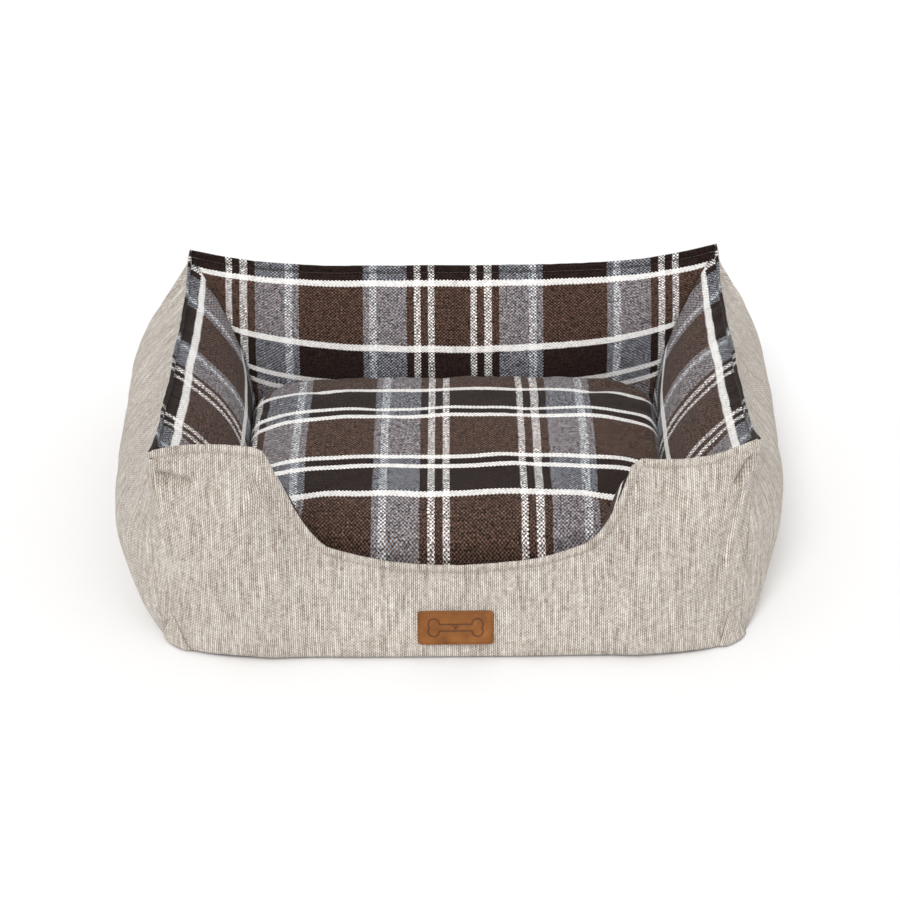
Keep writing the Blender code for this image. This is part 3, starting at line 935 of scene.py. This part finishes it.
@dataclass
class WallCloth:
    """The cloth on one face of a wall, with its half of the flange.

    Attributes:
        side: The wall.
        inside: Whether it is the lining, on the side of the cushion.
        start: Where it starts along the wall; past -1 it runs on round the corner.
        end: Where it ends.
        flat_shift: Where the wall's middle and its seam lie on the flat cloth, in metres.
        take_up: How much longer the cloth is cut than it lies, downwards.
        ear_share: How much of the seam's rise towards the corners was cut out of straight cloth.
    """

    side: Side
    inside: bool
    start: float = -1.0
    end: float = 1.0
    flat_shift: tuple[float, float] = (0.0, 0.0)
    take_up: float = 1.0
    ear_share: float = 0.0
    spacing: float = 0.0034
    flange_rows: int = 9
    rows: int = 56

    LAP = 0.0005

    def __post_init__(self) -> None:
        """Places the rows and the columns."""
        seam = [FORM.seam(self.side, mix(self.start, self.end, n / 200)) for n in range(201)]
        count = max(8, round(running_lengths(seam)[-1] / self.spacing))
        self.alongs = evenly(lambda place: FORM.seam(self.side, place), self.start, self.end, count)
        flange = [index / self.flange_rows - 1 for index in range(self.flange_rows)]
        self.drops = flange + [(index / self.rows) ** 1.15 for index in range(self.rows + 1)]
        self.turn = -1 if self.inside else 1

    def ripple(self, along: float) -> float:
        """The ripple that the topstitching draws into the flange."""
        here, place = FORM.resolve(self.side, along)
        across = place * FORM.half_length(here)
        key = list(Side).index(here) * 5.0
        fine = noise.noise(Vector((across / 0.012, key, 0)))
        broad = noise.noise(Vector((across / 0.060, key, 4)))
        return (0.0007 * fine + 0.0024 * broad) * smooth_step((1 - abs(place)) * 10)

    def point(self, along: float, drop: float) -> Vector:
        """Where a point of the cloth lies, before its creases."""
        facing = FORM.facing(self.side, along)
        sway = facing * self.ripple(along) * (1 - smooth_step(drop / 0.12))
        if drop >= 0:
            off = CLOTH * mix(0.45, 1.1, smooth_step(drop / 0.04))
            if not self.inside and not self.side.long:
                off -= 0.0016 * smooth_step((abs(along) * FORM.seam_half_y - FORM.seam_half_y + 0.026) / 0.008)
            return FORM.face(self.side, along, drop, self.inside) + facing * (self.turn * off) + sway
        share = -drop
        puff = CLOTH * (0.45 + 1.55 * math.sin(math.pi * min(share * 1.1, 1.0) * 0.93) ** 0.6)
        puff *= (1 - max(0.0, (share - 0.6) / 0.4) ** 3) ** 0.5 if share < 1 else 0.0
        lap = self.LAP * (1 if (self.side is Side.FRONT) != self.inside else -1)
        here, place = FORM.resolve(self.side, along)
        lap *= smooth_step((1 - abs(place)) * 14) if here is self.side else 0.0
        rise = FORM.upward(self.side, along) * ((FORM.flange + lap) * share)
        return FORM.seam(self.side, along) + rise + facing * (self.turn * puff) + sway

    def lay(self) -> LaidCloth:
        """Lays the cloth over the form and finds its places on the flat cloth."""
        points = [[self.point(along, drop) for along in self.alongs] for drop in self.drops]
        middle = min(range(len(self.alongs)), key=lambda column: abs(self.alongs[column]))
        downs = [running_lengths([row[column] for row in points]) for column in range(len(self.alongs))]
        flat: Flat = []
        for index, row in enumerate(points):
            flats = []
            if not self.inside:
                lengths = running_lengths([Vector((p.x, p.y, 0)) for p in row])
            for column, point in enumerate(row):
                if self.inside:
                    across = point.x if self.side.long else point.y - FORM.middle.y
                else:
                    across = lengths[column] - lengths[middle]
                down = (downs[column][index] - downs[column][self.flange_rows]) * self.take_up
                rise = FORM.seam(self.side, self.alongs[column]).z - FORM.seam(self.side, 0.0).z
                down -= rise * self.ear_share
                if self.side is Side.FRONT and not self.inside:
                    down -= downs[column][-1]
                flats.append((across + self.flat_shift[0], down + self.flat_shift[1]))
            flat.append(flats)
        return LaidCloth(points, flat)

    def crease(self, place: Vector, along: float, drop: float) -> float:
        """How far the cloth stands out of, or sinks into, its smooth form there."""
        if drop <= 0:
            return 0.0
        here, spot = FORM.resolve(self.side, along)
        across = spot * FORM.half_length(here)
        below = drop * FORM.seam_height(here, spot)
        key = list(Side).index(here) * 7.0 + self.turn
        edge = smooth_step((1 - abs(spot)) * 8)
        foot = smooth_step((1 - drop) * 6)
        phase = across / 0.0135 + 1.5 * noise.noise(Vector((across / 0.03, 2.0, key)))
        pucker = math.sin(math.tau * phase) * 0.0008 * math.exp(-below / 0.012) * smooth_step(below / 0.004)
        tuck = noise.noise(Vector((across / 0.019, below / 0.080, key))) * 0.0020 * math.exp(-below / 0.055)
        soft = wobble(place, 0.110, key) * 0.0046 + wobble(place, 0.046, key + 8) * 0.0016
        low = noise.noise(Vector((across / 0.030, below / 0.09, key + 3))) * 0.0018
        low *= smooth_step((drop - 0.66) * 4)
        total = (soft * smooth_step(below / 0.03) + tuck + low) * edge * foot + pucker * edge
        if self.inside:
            return total * 0.8
        ends = smooth_step((FORM.half_length(here) - abs(across)) / 0.010) * smooth_step(below / 0.006)
        for pinch in PINCHES:
            if pinch.side is here:
                total -= pinch.press(across, below) * ends
        return total

    def build(self, name: str, look: bpy.types.Material) -> bpy.types.Object:
        """Builds the cloth.

        Args:
            name: The piece's name.
            look: Its material.

        Returns:
            The piece.
        """
        laid = self.lay()
        body, spots = laid.build()
        face_towards(body, self.side.outward * self.turn)
        normals = [vertex.normal.copy() for vertex in body.verts]
        for vertex, normal, (row, column) in zip(body.verts, normals, spots):
            vertex.co += normal * self.crease(vertex.co, self.alongs[column], self.drops[row])
        piece = dressed(name, body, look)
        thicken(piece, CLOTH)
        top, foot = laid.flat[0], laid.flat[-1]
        talls = [low[1] - high[1] for high, low in zip(top, foot)]
        widths = [max(row)[0] - min(row)[0] for row in laid.flat]
        self.wide, self.tall = max(widths), max(talls)
        self.area = sum(talls) / len(talls) * sum(widths) / len(widths)
        return piece


@dataclass
class StitchRow:
    """A row of topstitches along a seam, each a short twisted thread."""

    pitch: float = 0.0046
    length: float = 0.0032
    radius: float = 0.00042
    sides: int = 5

    def sew(
        self, name: str, path: Sequence[Vector], outs: Sequence[Vector], look: bpy.types.Material
    ) -> bpy.types.Object:
        """Sews along a path.

        Args:
            name: The piece's name.
            path: Points along the seam, close together.
            outs: The way that the cloth faces at each.
            look: The thread.

        Returns:
            The stitches as one piece.
        """
        body = bmesh.new()
        lengths = running_lengths(path)
        low, place = 0, self.pitch
        while place < lengths[-1] - self.pitch:
            while lengths[low + 1] < place:
                low += 1
            share = (place - lengths[low]) / (lengths[low + 1] - lengths[low])
            centre = mix(path[low], path[low + 1], share) + outs[low] * (self.radius * 0.5)
            run_way = (path[low + 1] - path[low]).normalized()
            side_way = run_way.cross(outs[low]).normalized()
            up = side_way.cross(run_way)
            turn = Matrix((side_way, up, run_way)).transposed().to_4x4()
            bmesh.ops.create_cone(
                body, cap_ends=True, segments=self.sides, radius1=self.radius, radius2=self.radius * 0.8,
                depth=self.length, matrix=Matrix.Translation(centre) @ turn,
            )
            place += self.pitch
        return dressed(name, body, look)


class Walls:
    """The covers, seams and stuffing of the four walls."""

    WRAP = 0.020
    TUCK = 0.005
    SEAM_LINE = 0.0135
    SIDE_SEAM_LINE = 0.0185
    TAKE_UP = 1.11
    SIDE_TAKE_UP = 0.88
    EAR_SHARE = 0.22
    BACK_JOIN = -0.008
    PLAID_Y = -0.052
    PLAID_X_FRONT = 0.020
    PLAID_X_LEFT = 0.015
    PLAID_X_RIGHT = -0.019

    def __init__(self, wardrobe: Wardrobe) -> None:
        """Keeps the finishes.

        Args:
            wardrobe: The finishes to dress the walls in.
        """
        self.wardrobe = wardrobe
        self.single_line = run(WEFT) - WEFT[-1][1] - PASS / 2

    def cover(self, cloth: WallCloth, name: str, node: str, slot: str, look: bpy.types.Material) -> None:
        """Builds one cover piece, hides the node that it stands for, and attaches it to the nest."""
        piece = cloth.build(name, look)
        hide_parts(node)
        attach(piece, "nest")
        rests = [f"{cloth.side.label}_stuffing"]
        log.info("%s", name)

    def build(self) -> None:
        """Builds every wall."""
        for side in Side:
            self.stuffing(side)
            wrap = self.WRAP / FORM.half_length(side)
            tuck = (self.WRAP - self.TUCK) / FORM.half_length(side)
            start, end = (-1 - wrap, 1 + wrap) if side.long else (-1 + tuck, 1 - tuck)
            self.cover(
                WallCloth(side, False, start, end),
                f"{side.label}_outer_cloth", f"{side.label}_outer_panel", "oat_fabric", self.wardrobe.linen,
            )
        starts = {Side.FRONT: self.PLAID_X_FRONT, Side.LEFT: self.PLAID_Y, Side.RIGHT: self.PLAID_Y}
        for side, centre in starts.items():
            self.lining(side, -1.0, 1.0, centre, f"{side.label}_lining")
        self.lining(Side.BACK, -1.0, self.BACK_JOIN, self.PLAID_X_RIGHT, "back_lining_right")
        self.lining(Side.BACK, self.BACK_JOIN, 1.0, self.PLAID_X_LEFT, "back_lining_left")
        self.topstitching()

    def lining(self, side: Side, start: float, end: float, centre: float, node: str) -> None:
        """Builds one lining piece, with the plaid's broad brown stripe centred at that place."""
        line = self.SEAM_LINE if side.long else self.SIDE_SEAM_LINE
        take_up = self.TAKE_UP if side.long else self.SIDE_TAKE_UP
        shift = (WARP[0][1] / 2 - centre, self.single_line - line * take_up)
        cloth = WallCloth(
            side, True, start, end, flat_shift=shift, take_up=take_up, ear_share=self.EAR_SHARE, spacing=0.0046
        )
        self.cover(cloth, f"{node}_cloth", node, "plaid_fabric", self.wardrobe.plaid)

    def stuffing(self, side: Side) -> None:
        """Builds a wall's stuffing: a closed roll a little smaller than its covers."""
        rows, columns, end, share, end_share = 14, 40, 0.93, 0.88, 0.72
        outer = [mix(0.06, 0.98, index / rows) for index in range(rows + 1)]
        grid: Grid = []
        rings = []
        for index in range(columns + 1):
            along = mix(-end, end, index / columns)
            ring = [FORM.face(side, along, down, False) for down in outer]
            ring += [FORM.face(side, along, down, True) for down in reversed(outer)]
            ring.append(ring[0])
            centre = sum(ring, Vector()) / len(ring)
            shrink = mix(share, end_share, smooth_step((abs(along) - 0.78) / 0.10))
            rings.append([centre + (point - centre) * shrink for point in ring])
        for row in range(len(rings[0])):
            grid.append([ring[row] for ring in rings])
        flat = [[(point.x, point.z) for point in row] for row in grid]
        body, _ = LaidCloth(grid, flat).build()
        bmesh.ops.remove_doubles(body, verts=body.verts, dist=1e-5)
        rim = [edge for edge in body.edges if edge.is_boundary]
        bmesh.ops.holes_fill(body, edges=rim, sides=0)
        bmesh.ops.recalc_face_normals(body, faces=body.faces)
        piece = dressed(f"{side.label}_stuffing", body, self.wardrobe.fibre)
        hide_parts(f"{side.label}_filling")
        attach(piece, "nest")

    def topstitching(self) -> None:
        """Sews the flange all round, outside and inside."""
        row = StitchRow()
        for side in Side:
            for inside in (False, True):
                cloth = WallCloth(side, inside)
                face = side.outward * cloth.turn
                path = [cloth.point(mix(-0.99, 0.99, n / 400), -0.06) for n in range(401)]
                outs = [face for _ in path]
                look = self.wardrobe.brown_thread if inside else self.wardrobe.oat_thread
                name = f"{side.label}_{'lining' if inside else 'outer'}_stitching"
                piece = row.sew(name, path, outs, look)
                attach(piece, "nest")
        log.info("topstitching")


@dataclass
class CornerPatches:
    """The boxed corners at the bottom: a three-sided patch of linen over each corner."""

    wardrobe: Wardrobe
    height: float = 0.038
    half_width: float = 0.028
    standoff: float = 0.0030
    blunt: float = 0.985
    columns: int = 26
    rows: int = 16

    def point(self, side: Side, across: float, up: float) -> Vector:
        """A point of the patch: -1 to 1 across the corner, 0 at the ground to 1 at its tip."""
        reach = self.half_width * (1 - up) ** 0.85 * across / FORM.half_length(side)
        here, along = FORM.resolve(side, 1 + reach)
        full = FORM.seam_height(here, along)
        drop = 1 - (self.height * up) / full
        base = FORM.face(here, along, drop, False)
        out = FORM.bulge(here, along, False) - FORM.middle
        out.z = 0
        edge = 1 - max(abs(across), up * 0.8) ** 6
        return base + out.normalized() * (CLOTH * 1.6 + self.standoff * edge * (1 - up * 0.5))

    def build(self) -> None:
        """Builds the four patches."""
        for side in Side:
            after = side.neighbour(1)
            acrosses = [mix(-1, 1, c / self.columns) for c in range(self.columns + 1)]
            ups = [r / self.rows * self.blunt for r in range(self.rows + 1)]
            grid = [[self.point(side, across, up) for across in acrosses] for up in ups]
            flat = []
            for r, row in enumerate(grid):
                lengths = running_lengths(row)
                flat.append([(length - lengths[-1] / 2, self.height * r / self.rows) for length in lengths])
            body, _ = LaidCloth(grid, flat).build()
            face_towards(body, side.outward + after.outward)
            name = f"{side.label}_{after.label}"
            piece = dressed(f"{name}_corner_patch", body, self.wardrobe.linen)
            thicken(piece, CLOTH)
            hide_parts(f"{name}_gusset")
            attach(piece, "nest")
            f"{side.label}_outer_cloth"
        log.info("corner patches")


# ---------------------------------------------------------------- the label


@dataclass
class Label:
    """The tan leather label, stamped with a bone and a paw, sewn round its edge."""

    wardrobe: Wardrobe
    columns: int = 130
    rows: int = 66
    corner_power: float = 16.0
    edge_power: float = 26.0
    thick: float = 0.0018
    standoff: float = 0.0030
    stitch_inset: float = 0.0022
    stamp_depth: float = 0.00045
    groove: float = 0.0008
    bone: tuple[float, float, float] = (0.0215, 0.0034, 0.0056)
    knob_rise: float = 0.0036
    paw: tuple[tuple[float, float, float], ...] = (
        (0.0, -0.0004, 0.0017), (-0.0024, 0.0016, 0.0009), (-0.0008, 0.0026, 0.0009),
        (0.0008, 0.0026, 0.0009), (0.0024, 0.0016, 0.0009),
    )

    def __post_init__(self) -> None:
        """Reads the label's place and size; it leans back with the wall, so it is drawn a little shorter."""
        low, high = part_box("label_patch")
        self.centre = (low + high) / 2
        self.half_x = (high.x - low.x) / 2
        self.half_z = (high.z - low.z) / 2 * 0.93

    def stamp(self, x: float, z: float) -> float:
        """How far outside the stamped outline a place is, in metres; inside is negative."""
        reach, half_bar, knob = self.bone
        bar = max(abs(x) - reach, abs(z) - half_bar)
        knobs = math.hypot(abs(x) - reach - 0.001, abs(z) - self.knob_rise) - knob
        return min(bar, knobs)

    def pressed(self, x: float, z: float) -> float:
        """How deep the stamp is at a place, 0 to 1: the bone's sunk outline, and a small paw in it."""
        outline = math.exp(-((self.stamp(x, z) / self.groove) ** 2))
        paw = 0.0
        for pad_x, pad_z, radius in self.paw:
            paw = max(paw, 1 - smooth_step((math.hypot(x - pad_x, z - pad_z) / radius - 0.8) / 0.4))
        return max(outline, paw * 0.9)

    def surface(self, x: float, z: float) -> tuple[Vector, Vector]:
        """The front cloth behind a place on the label, and the way it faces."""
        along = x / FORM.seam_half_x
        low, high = 0.0, 1.0
        for _ in range(24):
            middle = (low + high) / 2
            if FORM.face(Side.FRONT, along, middle, False).z > z:
                low = middle
            else:
                high = middle
        point = FORM.face(Side.FRONT, along, low, False)
        step = FORM.face(Side.FRONT, along, low + 0.01, False) - FORM.face(Side.FRONT, along, low - 0.01, False)
        return point, Vector((1, 0, 0)).cross(-step).normalized()

    def build(self) -> None:
        """Builds the label and its stitches."""
        levels = [self.surface(0, self.centre.z + mix(-1, 1, n / 20) * self.half_z) for n in range(21)]
        out = sum((normal for _, normal in levels), Vector()).normalized()
        if out.y > 0:
            out.negate()
        up = (levels[-1][0] - levels[0][0]).normalized()
        middle = levels[10][0]
        sheets = []
        for outer in (True, False):
            grid, flat = [], []
            for r in range(self.rows + 1):
                row, flats = [], []
                for c in range(self.columns + 1):
                    x, y = mix(-1, 1, c / self.columns), mix(-1, 1, r / self.rows)
                    reach = max(abs(x), abs(y))
                    plan = spread(x, y, self.half_x, self.half_z, self.corner_power)
                    height = self.thick * (1 - reach**self.edge_power) ** 0.5 if outer else 0.0
                    press = self.pressed(plan.x, plan.y) * self.stamp_depth if outer else 0.0
                    rise = height - press + self.standoff
                    row.append(middle + Vector((plan.x, 0, 0)) + up * plan.y + out * rise)
                    flats.append((plan.x, plan.y))
                grid.append(row)
                flat.append(flats)
            sheets.append((grid, flat))
        front, _ = LaidCloth(*sheets[0]).build()
        face_towards(front, out)
        stamped = front.verts.layers.float.new("Stamped")
        for vertex in front.verts:
            local = vertex.co - middle
            vertex[stamped] = self.pressed(local.x, local.dot(up))
        rear, _ = LaidCloth(*sheets[1]).build()
        face_towards(rear, -out)
        absorb(front, rear, 1e-5)
        piece = dressed("leather_label", front, self.wardrobe.leather)
        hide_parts("label_patch")
        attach(piece, "nest")
        half_x, half_z = self.half_x - self.stitch_inset, self.half_z - self.stitch_inset
        path = []
        for n in range(401):
            turn = math.tau * n / 400
            plan = rounded((math.cos(turn), math.sin(turn)), half_x, half_z, self.corner_power)
            path.append(middle + Vector((plan.x, 0, 0)) + up * plan.y + out * (self.thick + self.standoff))
        row = StitchRow(pitch=0.0030, length=0.0021, radius=0.00030)
        stitches = row.sew("label_stitching", path, [out] * len(path), self.wardrobe.tan_thread)
        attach(stitches, "nest")
        log.info("leather label")


# ---------------------------------------------------------------- the floor of the bed


@dataclass
class Floor:
    """The base cloth, the foam pad and the plaid floor lining."""

    wardrobe: Wardrobe
    sides: int = 60

    def slab(self, name: str, node: str, power: float, look: bpy.types.Material, shrink: float,
             edge: float) -> bpy.types.Object:
        """Builds a flat rounded slab where a node of the frame is.

        Args:
            name: The piece's name.
            node: The node that it stands for.
            power: How square its corners are.
            look: Its material.
            shrink: How far it stays inside the node's outline.
            edge: How far its top falls towards its edge, as a power of the reach.

        Returns:
            The piece.
        """
        low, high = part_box(node)
        middle, half = (low + high) / 2, (high - low) / 2
        sheets = []
        for level in (high.z, low.z):
            grid, flat = [], []
            for r in range(self.sides + 1):
                row = []
                for c in range(self.sides + 1):
                    x, y = mix(-1, 1, c / self.sides), mix(-1, 1, r / self.sides)
                    reach = max(abs(x), abs(y))
                    plan = spread(x, y, half.x - shrink, half.y - shrink, power)
                    rise = (level - middle.z) * (1 - reach**edge) ** 0.5
                    row.append(Vector((middle.x + plan.x, middle.y + plan.y, middle.z + rise)))
                grid.append(row)
                flat.append([(point.x, point.y) for point in row])
            sheets.append(LaidCloth(grid, flat))
        top, _ = sheets[0].build()
        face_towards(top, Vector((0, 0, 1)))
        under, _ = sheets[1].build()
        face_towards(under, Vector((0, 0, -1)))
        absorb(top, under, 1e-6)
        piece = dressed(name, top, look)
        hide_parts(node)
        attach(piece, "nest")
        return piece

    def build(self) -> None:
        """Builds the three layers from the ground up."""
        base = self.slab("base_cloth", "base_fabric", 9.0, self.wardrobe.base, 0.004, 60.0)
        pad = self.slab("foam_pad", "base_pad", 14.0, self.wardrobe.foam, 0.001, 30.0)
        lining = self.slab("floor_cloth", "floor_lining", 14.0, self.wardrobe.plaid, 0.0, 60.0)
        log.info("floor")


# ---------------------------------------------------------------- the cushion


@dataclass
class Cushion:
    """The loose cushion: a crowned pillow with a knife edge, under a plaid cover with a zip at its back."""

    wardrobe: Wardrobe
    half_x: float = 0.2325
    back: float = 0.159
    front: float = -0.172
    power: float = 9.0
    front_rim: float = 0.060
    back_rim: float = 0.080
    front_swell: float = 0.015
    swell_reach: float = 0.66
    foot: float = 0.0183
    columns: int = 132
    rows: int = 104
    fold_reach: float = 1 - 2 / 12
    plaid_x: float = 0.032
    pair_middle_y: float = -0.0025
    front_ease: float = 0.20
    crown: tuple[tuple[float, float], ...] = (
        (-0.187, 0.060), (-0.180, 0.083), (-0.165, 0.095), (-0.140, 0.1020), (-0.115, 0.1062), (-0.047, 0.1118),
        (0.0, 0.1147), (0.045, 0.1160), (0.098, 0.1120), (0.130, 0.1068), (0.148, 0.1015), (0.156, 0.0950),
        (0.159, 0.080),
    )

    def rim(self, y: float) -> float:
        """The height of the edge seam at -1 to 1 from front to back."""
        return mix(self.front_rim, self.back_rim, (y + 1) / 2)

    def crown_at(self, y: float) -> float:
        """The height of the top along the cushion's middle line, by its place in metres."""
        stops = self.crown
        for (near, low), (far, high) in zip(stops, stops[1:]):
            if y <= far:
                return mix(low, high, min(max((y - near) / (far - near), 0.0), 1.0))
        return stops[-1][1]

    def smooth_crown(self, y: float) -> float:
        """The crown with its corners eased."""
        near = 0.006 * smooth_step((min(y - self.crown[0][0], self.crown[-1][0] - y)) / 0.02)
        return (self.crown_at(y - near) + 2 * self.crown_at(y) + self.crown_at(y + near)) / 4

    def plan(self, x: float, y: float) -> Vector:
        """The plan of a point of the unit square."""
        half_y = (self.back - self.front) / 2
        place = spread(x, y, self.half_x, half_y, self.power)
        place.y -= max(0.0, -y) ** 3 * smooth_step(1.8 * (1 - abs(x) / self.swell_reach)) * self.front_swell
        place.y += (self.back + self.front) / 2
        return place

    def upper(self, x: float, y: float) -> Vector:
        """A point of the top."""
        place = self.plan(x, y)
        middle = self.plan(0, y).y
        rim = self.rim(y)
        lift = max(0.0, self.smooth_crown(middle) - rim)
        place.z = rim + lift * max(0.0, 1 - abs(x) ** 5.6) ** 0.5
        reach = max(abs(x), abs(y))
        outward = math.sin(math.pi * smooth_step((reach - 0.86) / 0.14)) * 0.0035
        if reach > 0.5:
            place.x += outward * x / reach * (abs(x) / reach) ** 8
            place.y += outward * y / reach * (abs(y) / reach) ** 8
        dents = noise.noise(Vector((place.x / 0.095, place.y / 0.080, 3.0))) * 0.0036
        dents += noise.noise(Vector((place.x / 0.042, place.y / 0.050, 9.0))) * 0.0013
        edge = smooth_step((1 - reach) * 7)
        around = math.atan2(place.y, place.x) * 12
        tuck = noise.noise(Vector((around, reach * 5.0, 1.0))) * 0.0030 * smooth_step((1 - reach) * 16)
        place.z += dents * edge + tuck * (1 - smooth_step((1 - reach) * 3.2))
        return place + FORM.middle

    def slope(self, x: float, y: float) -> Vector:
        """A point of the underside before its edge is drawn straight."""
        reach = max(abs(x), abs(y))
        place = self.plan(x, y)
        place.z = mix(self.rim(y), self.foot, min(1.0, 1.35 * (1 - reach**4) ** 0.6))
        return place + FORM.middle

    def lower(self, x: float, y: float) -> Vector:
        """A point of the underside."""
        reach = max(abs(x), abs(y), 1e-9)
        if reach <= self.fold_reach:
            return self.slope(x, y)
        share = (reach - self.fold_reach) / (1 - self.fold_reach)
        inner, outer = self.fold_reach / reach, 1 / reach
        return mix(self.slope(x * inner, y * inner), self.slope(x * outer, y * outer), share)

    def sheet(self, surface: Callable[[float, float], Vector], shrink: float) -> LaidCloth:
        """Lays one side of the cushion out."""
        centre = FORM.middle + Vector((0, (self.back + self.front) / 2, 0.066))
        grid: Grid = []
        for r in range(self.rows + 1):
            y = mix(1, -1, r / self.rows)
            row = []
            for c in range(self.columns + 1):
                point = surface(mix(-1, 1, c / self.columns), y)
                row.append(centre + (point - centre) * shrink)
            grid.append(row)
        half = self.columns // 2
        spine = running_lengths([row[half] for row in grid])
        wanted = self.pair_middle_y + FORM.middle.y
        nearest = min(range(len(grid)), key=lambda r: abs(grid[r][half].y - wanted))
        pair_middle = sum(width for _, width in WEFT[:5]) + WEFT[5][1] / 2
        front_line = sum(width for _, width in WEFT[:10]) + PASS / 2
        flat: Flat = []
        for r, row in enumerate(grid):
            lengths = running_lengths(row)
            down = spine[r] - spine[nearest] - (grid[nearest][half].y - wanted) + pair_middle
            start = WARP[0][1] / 2 - self.plaid_x
            flat.append([(length - lengths[half] + start, down) for length in lengths])
        for c in range(self.columns + 1):
            lengths = running_lengths([row[c] for row in grid])
            for r in range(self.rows + 1):
                across, down = flat[r][c]
                own = lengths[r] - lengths[nearest] + flat[nearest][half][1]
                place = mix(down, own, 0.75)
                flat[r][c] = (across, place - max(0.0, place - front_line) * self.front_ease)
        return LaidCloth(grid, flat)

    def closed(self, name: str, shrink: float, look: bpy.types.Material) -> bpy.types.Object:
        """Joins the two sides along the edge seam."""
        top, _ = self.sheet(self.upper, shrink).build()
        face_towards(top, Vector((0, 0, 1)))
        under, _ = self.sheet(self.lower, shrink).build()
        face_towards(under, Vector((0, 0, -1)))
        absorb(top, under, 1e-5)
        return dressed(name, top, look)

    def build(self) -> None:
        """Builds the cover, the stuffing and the zip's finishes."""
        cover = self.closed("cushion_cover", 1.0, self.wardrobe.plaid)
        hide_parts("cushion_top_cover", "cushion_bottom_cover")
        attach(cover, "cushion")
        stuffing = self.closed("cushion_stuffing", 0.93, self.wardrobe.fibre)
        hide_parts("cushion_filling")
        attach(stuffing, "cushion")
        looks = {
            "zip_tape_upper": self.wardrobe.tape, "zip_tape_lower": self.wardrobe.tape,
            "zip_teeth": self.wardrobe.nylon, "zip_stop_left": self.wardrobe.metal,
            "zip_stop_right": self.wardrobe.metal, "zip_slider_body": self.wardrobe.metal,
            "zip_pull_tab": self.wardrobe.metal,
        }
        for node, look in looks.items():
            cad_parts[node].material_slots[0].material = look
        log.info("cushion and zip")


# ---------------------------------------------------------------- the studio


@dataclass
class Studio:
    """The pale floor, the soft lights and the camera."""

    wardrobe: Wardrobe
    elevation: float = math.radians(31)
    azimuth: float = math.radians(0.25)
    roll: float = math.radians(-0.6)
    reach: float = 2.337
    focal: float = 93.5
    tip_height: float = 0.234
    air: float = 0.72
    suns: tuple[tuple[str, float, float, float, float], ...] = (
        ("key", -17.0, 48.0, 24.0, 1.30),
        ("fill", 40.0, 40.0, 60.0, 0.20),
    )

    def build(self) -> None:
        """Sets the scene up round the bed."""
        self.floor()
        self.lights()
        self.camera()
        bpy.context.scene.view_settings.view_transform = "Standard"

    def floor(self) -> None:
        """Lays the floor."""
        body = bmesh.new()
        bmesh.ops.create_grid(body, x_segments=8, y_segments=8, size=6)
        bmesh.ops.translate(body, verts=body.verts, vec=(0, 0, -0.0004))
        dressed("studio_floor", body, self.wardrobe.paper)

    def lights(self) -> None:
        """Lights the bed from all round, with a soft key from the front left and a fill from the right."""
        world = bpy.data.worlds.new("studio_air")
        bpy.context.scene.world = world
        world.use_nodes = True
        air = world.node_tree.nodes["Background"]
        air.inputs["Color"].default_value = (1.0, 1.0, 1.0, 1.0)
        air.inputs["Strength"].default_value = self.air
        for name, azimuth, height, spread_angle, strength in self.suns:
            lamp = bpy.data.lights.new(f"{name}_light", "SUN")
            lamp.energy = strength
            lamp.angle = math.radians(spread_angle)
            holder = bpy.data.objects.new(f"{name}_light", lamp)
            holder.rotation_euler = (math.radians(90 - height), 0, math.radians(azimuth))
            bpy.context.collection.objects.link(holder)

    def camera(self) -> None:
        """Stands the camera where the bed is seen from the front and a little above."""
        lens = bpy.data.cameras.new("camera")
        lens.lens = self.focal
        lens.sensor_width = 36.0
        holder = bpy.data.objects.new("camera", lens)
        bpy.context.collection.objects.link(holder)
        bpy.context.scene.camera = holder
        turn = Matrix.Rotation(self.azimuth, 3, "Z") @ Matrix.Rotation(math.pi / 2 - self.elevation, 3, "X")
        turn = turn @ Matrix.Rotation(self.roll, 3, "Z")
        tips = FORM.middle + Vector((-0.004, -FORM.seam_half_y, self.tip_height))
        target = tips - turn @ Vector((0, 0.006, 0))
        holder.matrix_world = Matrix.Translation(target + turn @ Vector((0, 0, self.reach))) @ turn.to_4x4()


def main() -> None:
    """Builds the bed's looks in order."""
    logging.basicConfig(level=logging.INFO, format="%(name)s: %(message)s")
    wardrobe = Wardrobe()
    Studio(wardrobe).build()
    Walls(wardrobe).build()
    CornerPatches(wardrobe).build()
    Label(wardrobe).build()
    Floor(wardrobe).build()
    Cushion(wardrobe).build()


if __name__ == "__main__":
    main()
